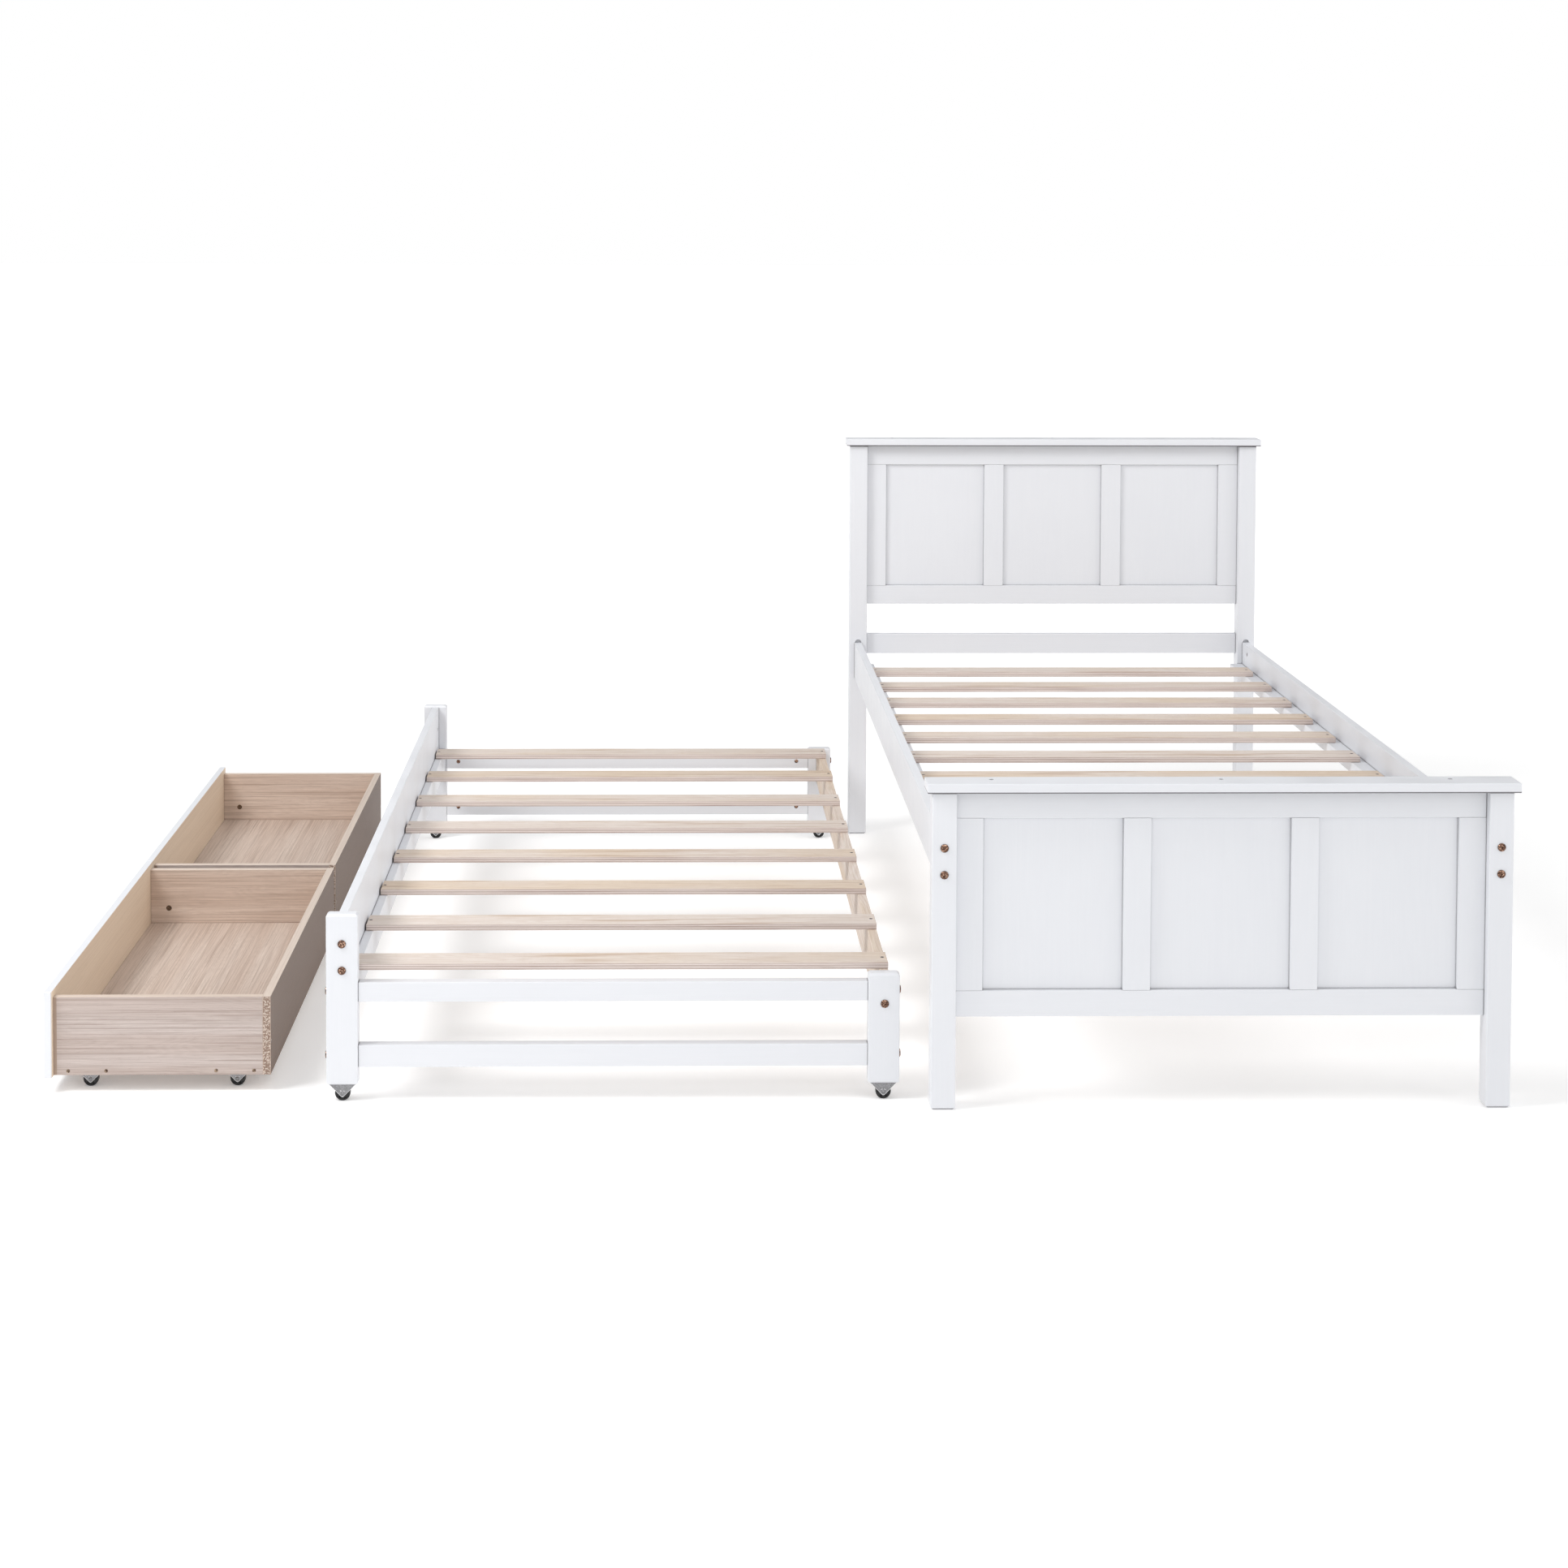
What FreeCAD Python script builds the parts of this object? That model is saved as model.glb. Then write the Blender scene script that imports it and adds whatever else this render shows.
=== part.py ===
import FreeCAD, Part
import Sketcher
import math
import os
import re

# Trundle bed with two rolling drawers, millimetres, +Z up.
# X runs across the bed (towards the bed's far side), Y from the footboard to the headboard.
# The origin is on the floor under the middle of the whole set as it stands: bed on the
# right, trundle rolled out to the left of it, drawers rolled out of the trundle.

# ---------------------------------------------------------------------------
# Driving sizes: name, value, what it is
# ---------------------------------------------------------------------------
SIZES = [
    # bed frame
    ("clear_width", 970, "between the two posts of a head or foot frame"),
    ("clear_length", 1930, "between the head frame's and the foot frame's posts"),
    ("post_width", 45, "bed post across the bed"),
    ("post_depth", 38, "bed post along the bed"),
    ("headboard_post_height", 1018, "head posts without the cap"),
    ("footboard_post_height", 582, "foot posts without the cap"),
    ("cap_overhang", 10, "cap beyond the posts, all round"),
    ("cap_thickness", 18, "cap board"),
    ("frame_setback", 17, "face of the panel frame behind the face of the posts"),
    ("frame_thickness", 19, "rails and stiles of the panel frames"),
    ("stile_width", 50, "upright between two panels"),
    ("top_rail_height", 51, "rail under the cap"),
    ("bottom_rail_height", 48, "rail under the panels"),
    ("headboard_frame_bottom", 602, "underside of the headboard's bottom rail"),
    ("footboard_frame_bottom", 166, "underside of the footboard's bottom rail"),
    ("panel_setback", 8, "face of a panel behind the face of its frame"),
    ("panel_thickness", 6, "panel sheet"),
    ("groove_depth", 7, "groove that holds the panel's edge"),
    ("panel_tongue", 6, "panel's edge inside the groove"),
    ("groove_gap", 0.2, "clearance of the panel in its groove, each side"),
    ("lower_rail_bottom", 472, "underside of the headboard's lower cross rail"),
    ("lower_rail_height", 51, "headboard's lower cross rail"),
    ("side_rail_bottom", 409, "underside of the bed's side rails"),
    ("side_rail_height", 94, "bed side rail"),
    ("side_rail_thickness", 18, "bed side rail"),
    ("bed_cleat_width", 32, "slat cleat across the bed"),
    ("bed_cleat_height", 24, "slat cleat"),
    ("bed_deck_rise", 38, "underside of the side rail to the top of its slat cleat"),
    ("bed_slat_count", 10, "slats in the bed"),
    ("bed_slat_foot_gap", 20, "foot posts to the first slat"),
    ("bed_slat_head_gap", 112, "last slat to the head posts"),
    ("slat_width", 65, "slat along the bed"),
    ("slat_thickness", 12, "slat"),
    # trundle
    ("bed_trundle_gap", 52, "bed posts to the trundle, rolled out"),
    ("trundle_width_gap", 9, "outside width of the bed less the trundle's"),
    ("trundle_end_gap", 18, "trundle to the bed's posts at each end, when centred"),
    ("trundle_offset", -4, "middle of the trundle from the middle of the bed, along the bed"),
    ("trundle_post_width", 58, "trundle post across the bed"),
    ("trundle_post_depth", 25, "trundle post along the bed"),
    ("trundle_top_gap", 62, "trundle's front posts to the bed's side rail above"),
    ("trundle_deck_height", 235, "top of the trundle's cleat, back rail and back posts"),
    ("trundle_rail_thickness", 17, "trundle's front rail, cleat and back rail"),
    ("front_rail_setback", 20.5, "front rail behind the face of the front posts"),
    ("front_rail_bottom", 182, "underside of the front rail"),
    ("front_rail_drop", 3, "top of the front posts to the top of the front rail"),
    ("back_rail_setback", 19, "back rail inside the outer face of the back posts"),
    ("back_rail_height", 88, "trundle's back rail"),
    ("end_rail_setback", 3, "cross rails behind the outer face of the posts; they are flush inside"),
    ("upper_end_rail_drop", 15, "trundle's deck to the top of the upper cross rail"),
    ("upper_end_rail_height", 36, "upper cross rail"),
    ("lower_end_rail_bottom", 63, "underside of the lower cross rail"),
    ("lower_end_rail_height", 41, "lower cross rail"),
    ("trundle_slat_count", 8, "slats in the trundle"),
    ("trundle_slat_foot_gap", 28, "foot end of the trundle to the first slat"),
    ("trundle_slat_head_gap", 77, "last slat to the head end of the trundle"),
    ("slat_rail_gap", 3, "slat end to the trundle's front rail"),
    # drawers
    ("trundle_drawer_gap", 110, "trundle to the back of the drawers, rolled out"),
    ("drawer_depth", 416, "drawer with its front, across the bed"),
    ("drawer_end_gap", 13, "drawer fronts to the trundle's posts, when centred"),
    ("drawer_offset", 4, "middle of the pair of drawers from the middle of the bed"),
    ("drawer_pair_gap", 2, "between the two drawer fronts"),
    ("drawer_board", 15, "front, side and back boards"),
    ("drawer_front_drop", 2, "front below the sides"),
    ("drawer_front_lap", 8, "front above the underside of the trundle's front rail"),
    ("drawer_top_gap", 5, "sides and back below the trundle's front rail"),
    ("drawer_side_inset", 11, "side behind the end of the front"),
    ("drawer_box_rise", 0.5, "caster plates to the underside of the sides and back"),
    ("caster_block_height", 16.5, "block that holds a drawer caster"),
    ("drawer_floor_thickness", 12, "drawer's bottom"),
    ("front_caster_inset", 77, "drawer's front face to its first axle"),
    ("back_caster_inset", 66, "drawer's back face to its second axle"),
    ("caster_block_length", 100, "block that holds a drawer caster"),
    ("caster_block_width", 40, "block that holds a drawer caster"),
    ("block_screw_offset", 35, "block screws either side of the axle"),
    # casters
    ("wheel_top_gap", 0.7, "wheel to the fork's plate"),
    ("wheel_diameter", 28.6, "caster wheel"),
    ("wheel_width", 13, "caster wheel"),
    ("wheel_recess", 2, "hollow in each side of the wheel"),
    ("wheel_rim", 3.2, "rim around the hollow"),
    ("wheel_crown", 1.92, "rounding of the wheel's edges"),
    ("hub_diameter", 9, "hub inside the hollow"),
    ("fork_reach", 9.7, "caster plate beyond the wheel, each way"),
    ("wheel_side_gap", 1, "wheel to each cheek"),
    ("fork_sheet", 1.2, "sheet thickness of the fork"),
    ("fork_tip_drop", 6.6, "axle to the tip of the cheeks"),
    ("fork_tip_radius", 4, "rounding of the cheek's tip"),
    ("axle_diameter", 4, "caster axle"),
    ("axle_gap", 0.05, "radial clearance of wheel and fork on the axle"),
    ("rivet_diameter", 7, "riveted end of the axle"),
    ("rivet_tip_diameter", 3.5, "riveted end of the axle, at its outer face"),
    ("rivet_height", 1.2, "riveted end of the axle"),
    # fasteners
    ("bolt_head_diameter", 15, "furniture bolt head"),
    ("bolt_head_height", 2.8, "furniture bolt head"),
    ("bolt_head_dome", 2.1, "rounding of the furniture bolt head"),
    ("bolt_diameter", 6, "furniture bolt shank"),
    ("bolt_hole_diameter", 7, "bolt hole in the wood"),
    ("bolt_end", 8, "shank beyond the middle of the barrel nut"),
    ("bolt_clearance", 1, "free depth behind the bolt's end"),
    ("hex_size", 4, "hex socket across its corners, and its depth is half of it"),
    ("nut_diameter", 10, "barrel nut"),
    ("nut_length", 14, "barrel nut"),
    ("nut_gap", 0.1, "radial clearance of the barrel nut, and of the bolt in it"),
    ("bolt_spacing", 49, "between the two bolts of a rail end"),
    ("bed_nut_inset", 53, "end of the bed side rail to its barrel nuts"),
    ("front_bolt_drop", 55, "top of the trundle's front posts to the upper bolt"),
    ("back_bolt_drop", 56, "top of the trundle's back posts to the bolt"),
    ("trundle_nut_inset", 30, "end of a trundle rail to its barrel nut"),
    ("dowel_hole_diameter", 16, "round hole in the head post behind the side rail's top"),
    ("dowel_hole_depth", 6, "round hole in the head post"),
    ("screw_diameter", 3.5, "wood screw shank"),
    ("screw_head_diameter", 7, "wood screw head"),
    ("screw_head_height", 2.2, "wood screw's countersunk head"),
    ("screw_length", 26, "wood screw"),
    ("screw_gap", 0.1, "clearance around a screw"),
    ("slat_screw_inset", 10, "slat's end to its screw"),
    ("cap_screw_inset", 65, "posts to the outer cap screws"),
    ("cap_screw_sink", 3, "cap screw heads below the cap's top"),
    ("cap_hole_diameter", 9, "counterbore over a cap screw"),
    ("corner_fixing_rise", 61, "underside of the sides to the back screws and front cams"),
    ("cam_diameter", 12, "cam that pulls a drawer side to its front"),
    ("cam_length", 11, "cam"),
    ("cam_slot_length", 8, "driver slot in the cam's face"),
    ("cam_inset", 40, "side's end to the cam's middle"),
    ("cam_pin_diameter", 5, "pin between the front and the cam"),
    ("cam_pin_depth", 10, "pin's end in the front"),
    # edges
    ("edge_round", 1.5, "rounded edges of painted boards"),
    ("post_round", 2, "rounded edges of posts"),
    ("post_chamfer", 4, "bevel around a post's foot"),
    ("slat_round", 1.2, "rounded edges of slats"),
    ("sheet_edge", 0.6, "eased edges of the drawers' boards"),
]

# ---------------------------------------------------------------------------
# Places worked out from the driving sizes
# ---------------------------------------------------------------------------
LAYOUT = [
    ("trundle_width", "clear_width + 2 * post_width - trundle_width_gap"),
    ("trundle_length", "clear_length - 2 * trundle_end_gap"),
    ("bed_x", "(bed_trundle_gap + trundle_width + trundle_drawer_gap + drawer_depth - cap_overhang) / 2"),
    ("bed_left", "bed_x - clear_width / 2 - post_width"),
    ("bed_right", "bed_x + clear_width / 2"),
    ("foot_y", "-clear_length / 2 - post_depth"),
    ("head_y", "clear_length / 2"),
    ("bed_deck_height", "side_rail_bottom + bed_deck_rise"),
    ("bed_bolt_low", "side_rail_bottom + (side_rail_height - bolt_spacing) / 2"),
    ("bed_bolt_high", "side_rail_bottom + (side_rail_height + bolt_spacing) / 2"),
    ("cap_screw_spread", "clear_width / 2 - cap_screw_inset"),
    ("rail_inset", "(post_width - side_rail_thickness) / 2"),
    ("bed_bolt_x", "clear_width / 2 + post_width / 2"),
    ("bed_slat_pitch", "(clear_length - bed_slat_foot_gap - bed_slat_head_gap - slat_width)"
                       " / (bed_slat_count - 1)"),
    ("panel_width", "(clear_width - 4 * stile_width) / 3"),
    ("groove_width", "panel_thickness + 2 * groove_gap"),
    ("groove_y", "panel_setback - groove_gap"),
    ("trundle_right", "bed_left - bed_trundle_gap"),
    ("trundle_left", "trundle_right - trundle_width"),
    ("trundle_foot", "trundle_offset - trundle_length / 2"),
    ("trundle_head", "trundle_offset + trundle_length / 2"),
    ("front_post_top", "side_rail_bottom - trundle_top_gap"),
    ("front_rail_top", "front_post_top - front_rail_drop"),
    ("front_bolt_high", "front_post_top - front_bolt_drop"),
    ("front_bolt_low", "front_post_top - front_bolt_drop - bolt_spacing"),
    ("back_bolt_height", "trundle_deck_height - back_bolt_drop"),
    ("end_rail_thickness", "trundle_post_depth - end_rail_setback"),
    ("upper_end_rail_bottom", "trundle_deck_height - upper_end_rail_drop - upper_end_rail_height"),
    ("long_rail_length", "trundle_length - 2 * trundle_post_depth"),
    ("cross_rail_length", "trundle_width - 2 * trundle_post_width"),
    ("front_rail_x", "trundle_left + front_rail_setback"),
    ("cleat_x", "front_rail_x + trundle_rail_thickness"),
    ("back_rail_x", "trundle_right - back_rail_setback - trundle_rail_thickness"),
    ("trundle_slat_x", "cleat_x + slat_rail_gap"),
    ("trundle_slat_length", "back_rail_x + trundle_rail_thickness - trundle_slat_x"),
    ("trundle_slat_pitch", "(trundle_length - trundle_slat_foot_gap - trundle_slat_head_gap - slat_width)"
                           " / (trundle_slat_count - 1)"),
    ("drawer_right", "trundle_left - trundle_drawer_gap"),
    ("drawer_left", "drawer_right - drawer_depth"),
    ("axle_height", "wheel_diameter / 2"),
    ("caster_height", "wheel_diameter + wheel_top_gap + fork_sheet"),
    ("fork_length", "wheel_diameter + 2 * fork_reach"),
    ("fork_gap", "wheel_width + 2 * wheel_side_gap"),
    ("drawer_front_length", "(trundle_length - 2 * trundle_post_depth - drawer_pair_gap"
                            " - 2 * drawer_end_gap) / 2"),
    ("drawer_box_bottom", "caster_height + drawer_box_rise"),
    ("drawer_box_height", "front_rail_bottom - drawer_top_gap - drawer_box_bottom"),
    ("drawer_front_bottom", "drawer_box_bottom - drawer_front_drop"),
    ("drawer_front_height", "front_rail_bottom + drawer_front_lap - drawer_front_bottom"),
    ("drawer_floor_height", "caster_height + caster_block_height"),
    ("block_screw_height", "caster_height + caster_block_height / 2"),
    ("corner_fixing_height", "drawer_box_bottom + corner_fixing_rise"),
    ("box_width", "drawer_front_length - 2 * drawer_side_inset"),
    ("side_length", "drawer_depth - 2 * drawer_board"),
    ("fork_width", "fork_gap + 2 * fork_sheet"),
    ("bed_bolt_length", "post_depth + bed_nut_inset + bolt_end"),
    ("long_bolt_length", "trundle_post_depth + trundle_nut_inset + bolt_end"),
    ("cross_bolt_length", "trundle_post_width + trundle_nut_inset + bolt_end"),
]

PANELS = 3
STILES = PANELS + 1
CAP_SCREWS = (-1, 0, 1)
CROSS_LEVELS = ("upper_end_rail_bottom + upper_end_rail_height / 2",
                "lower_end_rail_bottom + lower_end_rail_height / 2")
TOUCH = 1e-6  # two heights nearer than this are the same

doc = FreeCAD.newDocument("TrundleBed")
OWNER = {}
SUB_PARTS = []


def fill_sheet(name, rows):
    """Write one row per value: its name, the value under that alias, and a note."""
    sheet = doc.addObject("Spreadsheet::Sheet", name)
    for number, (alias, value, note) in enumerate(rows, start=1):
        sheet.set(f"A{number}", alias)
        sheet.set(f"B{number}", str(value))
        sheet.setAlias(f"B{number}", alias)
        sheet.set(f"C{number}", note)
        OWNER[alias] = name
    return sheet


def qualify(formula):
    """Put its sheet's name before every alias that is in a sheet already."""
    def owner(match):
        word = match.group(0)
        return f"{OWNER[word]}.{word}" if word in OWNER else word
    return re.sub(r"[a-z][a-z_]+", owner, str(formula))


def bind(obj, **formulas):
    """Drive each property of an object by a formula of the sheets' values."""
    for prop, formula in formulas.items():
        obj.setExpression(prop, qualify(formula))


def place(obj, x, y, z, turn=None):
    """Put an object at a worked-out place, turned by a fixed rotation."""
    if turn is not None:
        obj.Placement = FreeCAD.Placement(FreeCAD.Vector(), turn)
    for axis, formula in zip("xyz", (x, y, z)):
        obj.setExpression(f".Placement.Base.{axis}", qualify(formula))


ALONG_X = FreeCAD.Rotation(FreeCAD.Vector(0, 1, 0), 90)
ALONG_Y = FreeCAD.Rotation(FreeCAD.Vector(1, 0, 0), -90)
AGAINST_X = FreeCAD.Rotation(FreeCAD.Vector(0, 1, 0), -90)
AGAINST_Y = FreeCAD.Rotation(FreeCAD.Vector(1, 0, 0), 90)
DOWN = FreeCAD.Rotation(FreeCAD.Vector(1, 0, 0), 180)
UPRIGHT = FreeCAD.Rotation()
QUARTER = FreeCAD.Rotation(FreeCAD.Vector(0, 0, 1), 90)


# ---------------------------------------------------------------------------
# Pieces
# ---------------------------------------------------------------------------
def start_body(label):
    """An empty body with the label of its sub-part."""
    body = doc.addObject("PartDesign::Body", label)
    body.Label = label
    return body


def add_box(body, kind, x, y, z, dx, dy, dz):
    """An additive or subtractive box inside a body."""
    box = body.newObject(f"PartDesign::{kind}Box", "Box")
    bind(box, Length=dx, Width=dy, Height=dz)
    place(box, x, y, z)
    return box


def drill(body, x, y, z, turn, diameter, depth):
    """A round hole in a body, from a point along the turned Z axis."""
    hole = body.newObject("PartDesign::SubtractiveCylinder", "Hole")
    bind(hole, Radius=f"({diameter}) / 2", Height=depth)
    place(hole, x, y, z, turn)
    return hole


def countersink(body, x, y, z, turn):
    """A screw's clearance hole with its countersink, from the surface inwards."""
    drill(body, x, y, z, turn, "screw_diameter + 2 * screw_gap", "screw_length + screw_gap")
    sink = body.newObject("PartDesign::SubtractiveCone", "Countersink")
    bind(sink, Radius1="screw_head_diameter / 2 + screw_gap",
         Radius2="screw_diameter / 2 + screw_gap", Height="screw_head_height")
    place(sink, x, y, z, turn)


def nut_hole(body, x, y, z, turn, thickness):
    """The hole that holds a barrel nut in the middle of a rail of the given thickness."""
    drill(body, x, y, z, turn, "nut_diameter + 2 * nut_gap",
          f"({thickness} + nut_length) / 2 + nut_gap")


def round_edges(body, radius):
    """Round every edge of the body so far."""
    base = body.Tip
    doc.recompute()
    fillet = body.newObject("PartDesign::Fillet", "RoundedEdges")
    fillet.Base = (base, ["Edge1"])
    fillet.UseAllEdges = True
    bind(fillet, Radius=radius)


def bevel_ends(body, size, ends):
    """Bevel the outline of the lowest or highest faces of the body so far."""
    base = body.Tip
    doc.recompute()
    box = base.Shape.BoundBox
    levels = {"bottom": box.ZMin, "top": box.ZMax}
    names = [f"Edge{number}" for number, edge in enumerate(base.Shape.Edges, start=1)
             if any(all(abs(v.Z - levels[end]) < TOUCH for v in edge.Vertexes) for end in ends)]
    chamfer = body.newObject("PartDesign::Chamfer", "Bevel")
    chamfer.Base = (base, names)
    bind(chamfer, Size=size)


def board(label, x, y, z, dx, dy, dz, rounding="edge_round", bevels=()):
    """A board with eased edges, its lowest corner at the given place."""
    body = start_body(label)
    add_box(body, "Additive", 0, 0, 0, dx, dy, dz)
    if bevels:
        bevel_ends(body, "post_chamfer", bevels)
    round_edges(body, rounding)
    place(body, x, y, z)
    return body


def keep(*objects):
    """Hand objects in as sub-parts."""
    SUB_PARTS.extend(objects)


def group(label, members):
    """Several separate solids in one sub-part."""
    compound = doc.addObject("Part::Compound", label)
    compound.Label = label
    compound.Links = members
    keep(compound)


def copies(pattern, spots):
    """Linked copies of a pattern piece; each spot is x, y, z and a turn."""
    made = []
    for x, y, z, turn in spots:
        link = doc.addObject("App::Link", f"{pattern.Name}_copy")
        link.LinkedObject = pattern
        place(link, x, y, z, turn)
        made.append(link)
    return made


def bolt(length):
    """A furniture bolt along Z: its head below the origin, its shank above."""
    body = start_body("pattern_bolt")
    head = body.newObject("PartDesign::AdditiveCylinder", "Head")
    bind(head, Radius="bolt_head_diameter / 2", Height="bolt_head_height")
    place(head, 0, 0, "-bolt_head_height")
    doc.recompute()
    outer_face = head.Shape.BoundBox.ZMin
    low = [f"Edge{number}" for number, edge in enumerate(head.Shape.Edges, start=1)
           if all(abs(v.Z - outer_face) < TOUCH for v in edge.Vertexes)]
    dome = body.newObject("PartDesign::Fillet", "Dome")
    dome.Base = (head, low)
    bind(dome, Radius="bolt_head_dome")
    shank = body.newObject("PartDesign::AdditiveCylinder", "Shank")
    bind(shank, Radius="bolt_diameter / 2", Height=length)
    socket = body.newObject("PartDesign::SubtractivePrism", "HexSocket")
    socket.Polygon = 6
    bind(socket, Circumradius="hex_size / 2", Height="hex_size / 2")
    place(socket, 0, 0, "-bolt_head_height")
    return body


def barrel_nut():
    """A barrel nut along Z with its bolt hole across the middle."""
    body = start_body("pattern_barrel_nut")
    barrel = body.newObject("PartDesign::AdditiveCylinder", "Barrel")
    bind(barrel, Radius="nut_diameter / 2", Height="nut_length")
    drill(body, 0, "-nut_diameter", "nut_length / 2", ALONG_Y,
          "bolt_diameter + 2 * nut_gap", "2 * nut_diameter")
    slot = add_box(body, "Subtractive", "-nut_diameter / 2", "-sheet_edge", 0,
                   "nut_diameter", "2 * sheet_edge", "2 * sheet_edge")
    slot.Label = "ScrewdriverSlot"
    return body


def wood_screw():
    """A countersunk wood screw: the flat of its head at the origin, its shank along Z."""
    body = start_body("pattern_screw")
    head = body.newObject("PartDesign::AdditiveCone", "Head")
    bind(head, Radius1="screw_head_diameter / 2", Radius2="screw_diameter / 2",
         Height="screw_head_height")
    shank = body.newObject("PartDesign::AdditiveCylinder", "Shank")
    bind(shank, Radius="screw_diameter / 2", Height="screw_length")
    for name, turn in (("SlotA", 0), ("SlotB", 90)):
        slot = body.newObject("PartDesign::SubtractiveBox", name)
        bind(slot, Length="screw_diameter", Width="sheet_edge", Height="2 * sheet_edge")
        across = FreeCAD.Rotation(FreeCAD.Vector(0, 0, 1), turn)
        shift = ("-screw_diameter / 2", "-sheet_edge / 2")
        spot = shift if turn == 0 else (f"-({shift[1]})", shift[0])
        place(slot, spot[0], spot[1], 0, across)
    return body


def fork():
    """A caster fork: a plate with a rounded triangular cheek each side of the wheel.

    The origin is on the floor under the axle, and the wheel rolls along X."""
    body = start_body("pattern_fork")
    plane = next(f for f in body.Origin.OriginFeatures if f.Role == "XZ_Plane")
    sketch = body.newObject("Sketcher::SketchObject", "CheekOutline")
    sketch.AttachmentSupport = (plane, [""])
    sketch.MapMode = "FlatFace"
    length, plate_top = layout.fork_length, layout.caster_height
    radius = sizes.fork_tip_radius
    tip_centre = layout.axle_height - sizes.fork_tip_drop + radius
    slope = math.atan2(plate_top - tip_centre, length / 2)
    downward = 1.5 * math.pi
    left = FreeCAD.Vector(-length / 2, plate_top, 0)
    right = FreeCAD.Vector(length / 2, plate_top, 0)
    circle = Part.Circle(FreeCAD.Vector(0, tip_centre, 0), FreeCAD.Vector(0, 0, 1), radius)
    tip = Part.ArcOfCircle(circle, downward - slope, downward + slope)
    top = sketch.addGeometry(Part.LineSegment(right, left))
    down = sketch.addGeometry(Part.LineSegment(left, tip.StartPoint))
    arc = sketch.addGeometry(tip)
    up = sketch.addGeometry(Part.LineSegment(tip.EndPoint, right))
    sketch.addConstraint([
        Sketcher.Constraint("Coincident", top, 2, down, 1),
        Sketcher.Constraint("Tangent", down, 2, arc, 1),
        Sketcher.Constraint("Tangent", arc, 2, up, 1),
        Sketcher.Constraint("Coincident", up, 2, top, 1),
        Sketcher.Constraint("Symmetric", top, 1, top, 2, -2),
        Sketcher.Constraint("PointOnObject", arc, 3, -2),
    ])
    driven = (
        ("plate_length", Sketcher.Constraint("DistanceX", top, 2, top, 1, length), "fork_length"),
        ("plate_top", Sketcher.Constraint("DistanceY", -1, 1, top, 1, plate_top), "caster_height"),
        ("tip_radius", Sketcher.Constraint("Radius", arc, radius), "fork_tip_radius"),
        ("tip_centre", Sketcher.Constraint("DistanceY", -1, 1, arc, 3, tip_centre),
         "axle_height - fork_tip_drop + fork_tip_radius"),
    )
    for name, constraint, formula in driven:
        index = sketch.addConstraint(constraint)
        sketch.renameConstraint(index, name)
        sketch.setExpression(f"Constraints.{name}", qualify(formula))
    pad = body.newObject("PartDesign::Pad", "Cheeks")
    pad.Profile = sketch
    pad.Midplane = True
    bind(pad, Length="fork_width")
    add_box(body, "Subtractive", "-fork_length", "-fork_gap / 2", 0,
            "2 * fork_length", "fork_gap", "caster_height - fork_sheet")
    drill(body, 0, "-fork_width", "axle_height", ALONG_Y, "axle_diameter + 2 * axle_gap",
          "2 * fork_width")
    return body


def axle():
    """The caster's axle along Y with a riveted head at each end, at the axle's height."""
    body = start_body("pattern_axle")
    pin = body.newObject("PartDesign::AdditiveCylinder", "Pin")
    bind(pin, Radius="axle_diameter / 2", Height="fork_width + 2 * axle_gap")
    place(pin, 0, "-fork_width / 2 - axle_gap", "axle_height", ALONG_Y)
    for name, side, turn in (("NearRivet", "-", AGAINST_Y), ("FarRivet", "", ALONG_Y)):
        rivet = body.newObject("PartDesign::AdditiveCone", name)
        bind(rivet, Radius1="rivet_diameter / 2", Radius2="rivet_tip_diameter / 2",
             Height="rivet_height")
        place(rivet, 0, f"{side}(fork_width / 2 + axle_gap)", "axle_height", turn)
    return body


def wheel(label, x, y):
    """A caster wheel with hollow sides; its axle lies along Y over the given floor point."""
    body = start_body(label)
    tyre = body.newObject("PartDesign::AdditiveCylinder", "Tyre")
    bind(tyre, Radius="wheel_diameter / 2", Height="wheel_width")
    place(tyre, 0, "-wheel_width / 2", 0, ALONG_Y)
    doc.recompute()
    rims = [f"Edge{number}" for number, edge in enumerate(tyre.Shape.Edges, start=1)
            if hasattr(edge.Curve, "Radius")]
    crown = body.newObject("PartDesign::Fillet", "Crown")
    crown.Base = (tyre, rims)
    bind(crown, Radius="wheel_crown")
    for name, y_start in (("NearHollow", "-wheel_width / 2"),
                          ("FarHollow", "wheel_width / 2 - wheel_recess")):
        drill(body, 0, y_start, 0, ALONG_Y, "wheel_diameter - 2 * wheel_rim",
              "wheel_recess").Label = name
    hub = body.newObject("PartDesign::AdditiveCylinder", "Hub")
    bind(hub, Radius="hub_diameter / 2", Height="wheel_width")
    place(hub, 0, "-wheel_width / 2", 0, ALONG_Y)
    drill(body, 0, "-wheel_width", 0, ALONG_Y, "axle_diameter + 2 * axle_gap",
          "2 * wheel_width")
    place(body, x, y, "axle_height")
    keep(body)


# ---------------------------------------------------------------------------
# Bed
# ---------------------------------------------------------------------------
def bed_post(label, x, y, height, outward):
    """A bed post with two bolt holes; outward is 1 at the head and -1 at the foot."""
    body = board(label, x, y, 0, "post_width", "post_depth", height, "post_round", ("bottom",))
    for level in ("bed_bolt_low", "bed_bolt_high"):
        drill(body, "post_width / 2", "-post_round", level, ALONG_Y, "bolt_hole_diameter",
              "post_depth + 2 * post_round")
    if outward > 0:
        drill(body, "post_width / 2", 0, "side_rail_bottom + side_rail_height", ALONG_Y,
              "dowel_hole_diameter", "dowel_hole_depth")
    keep(body)


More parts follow.
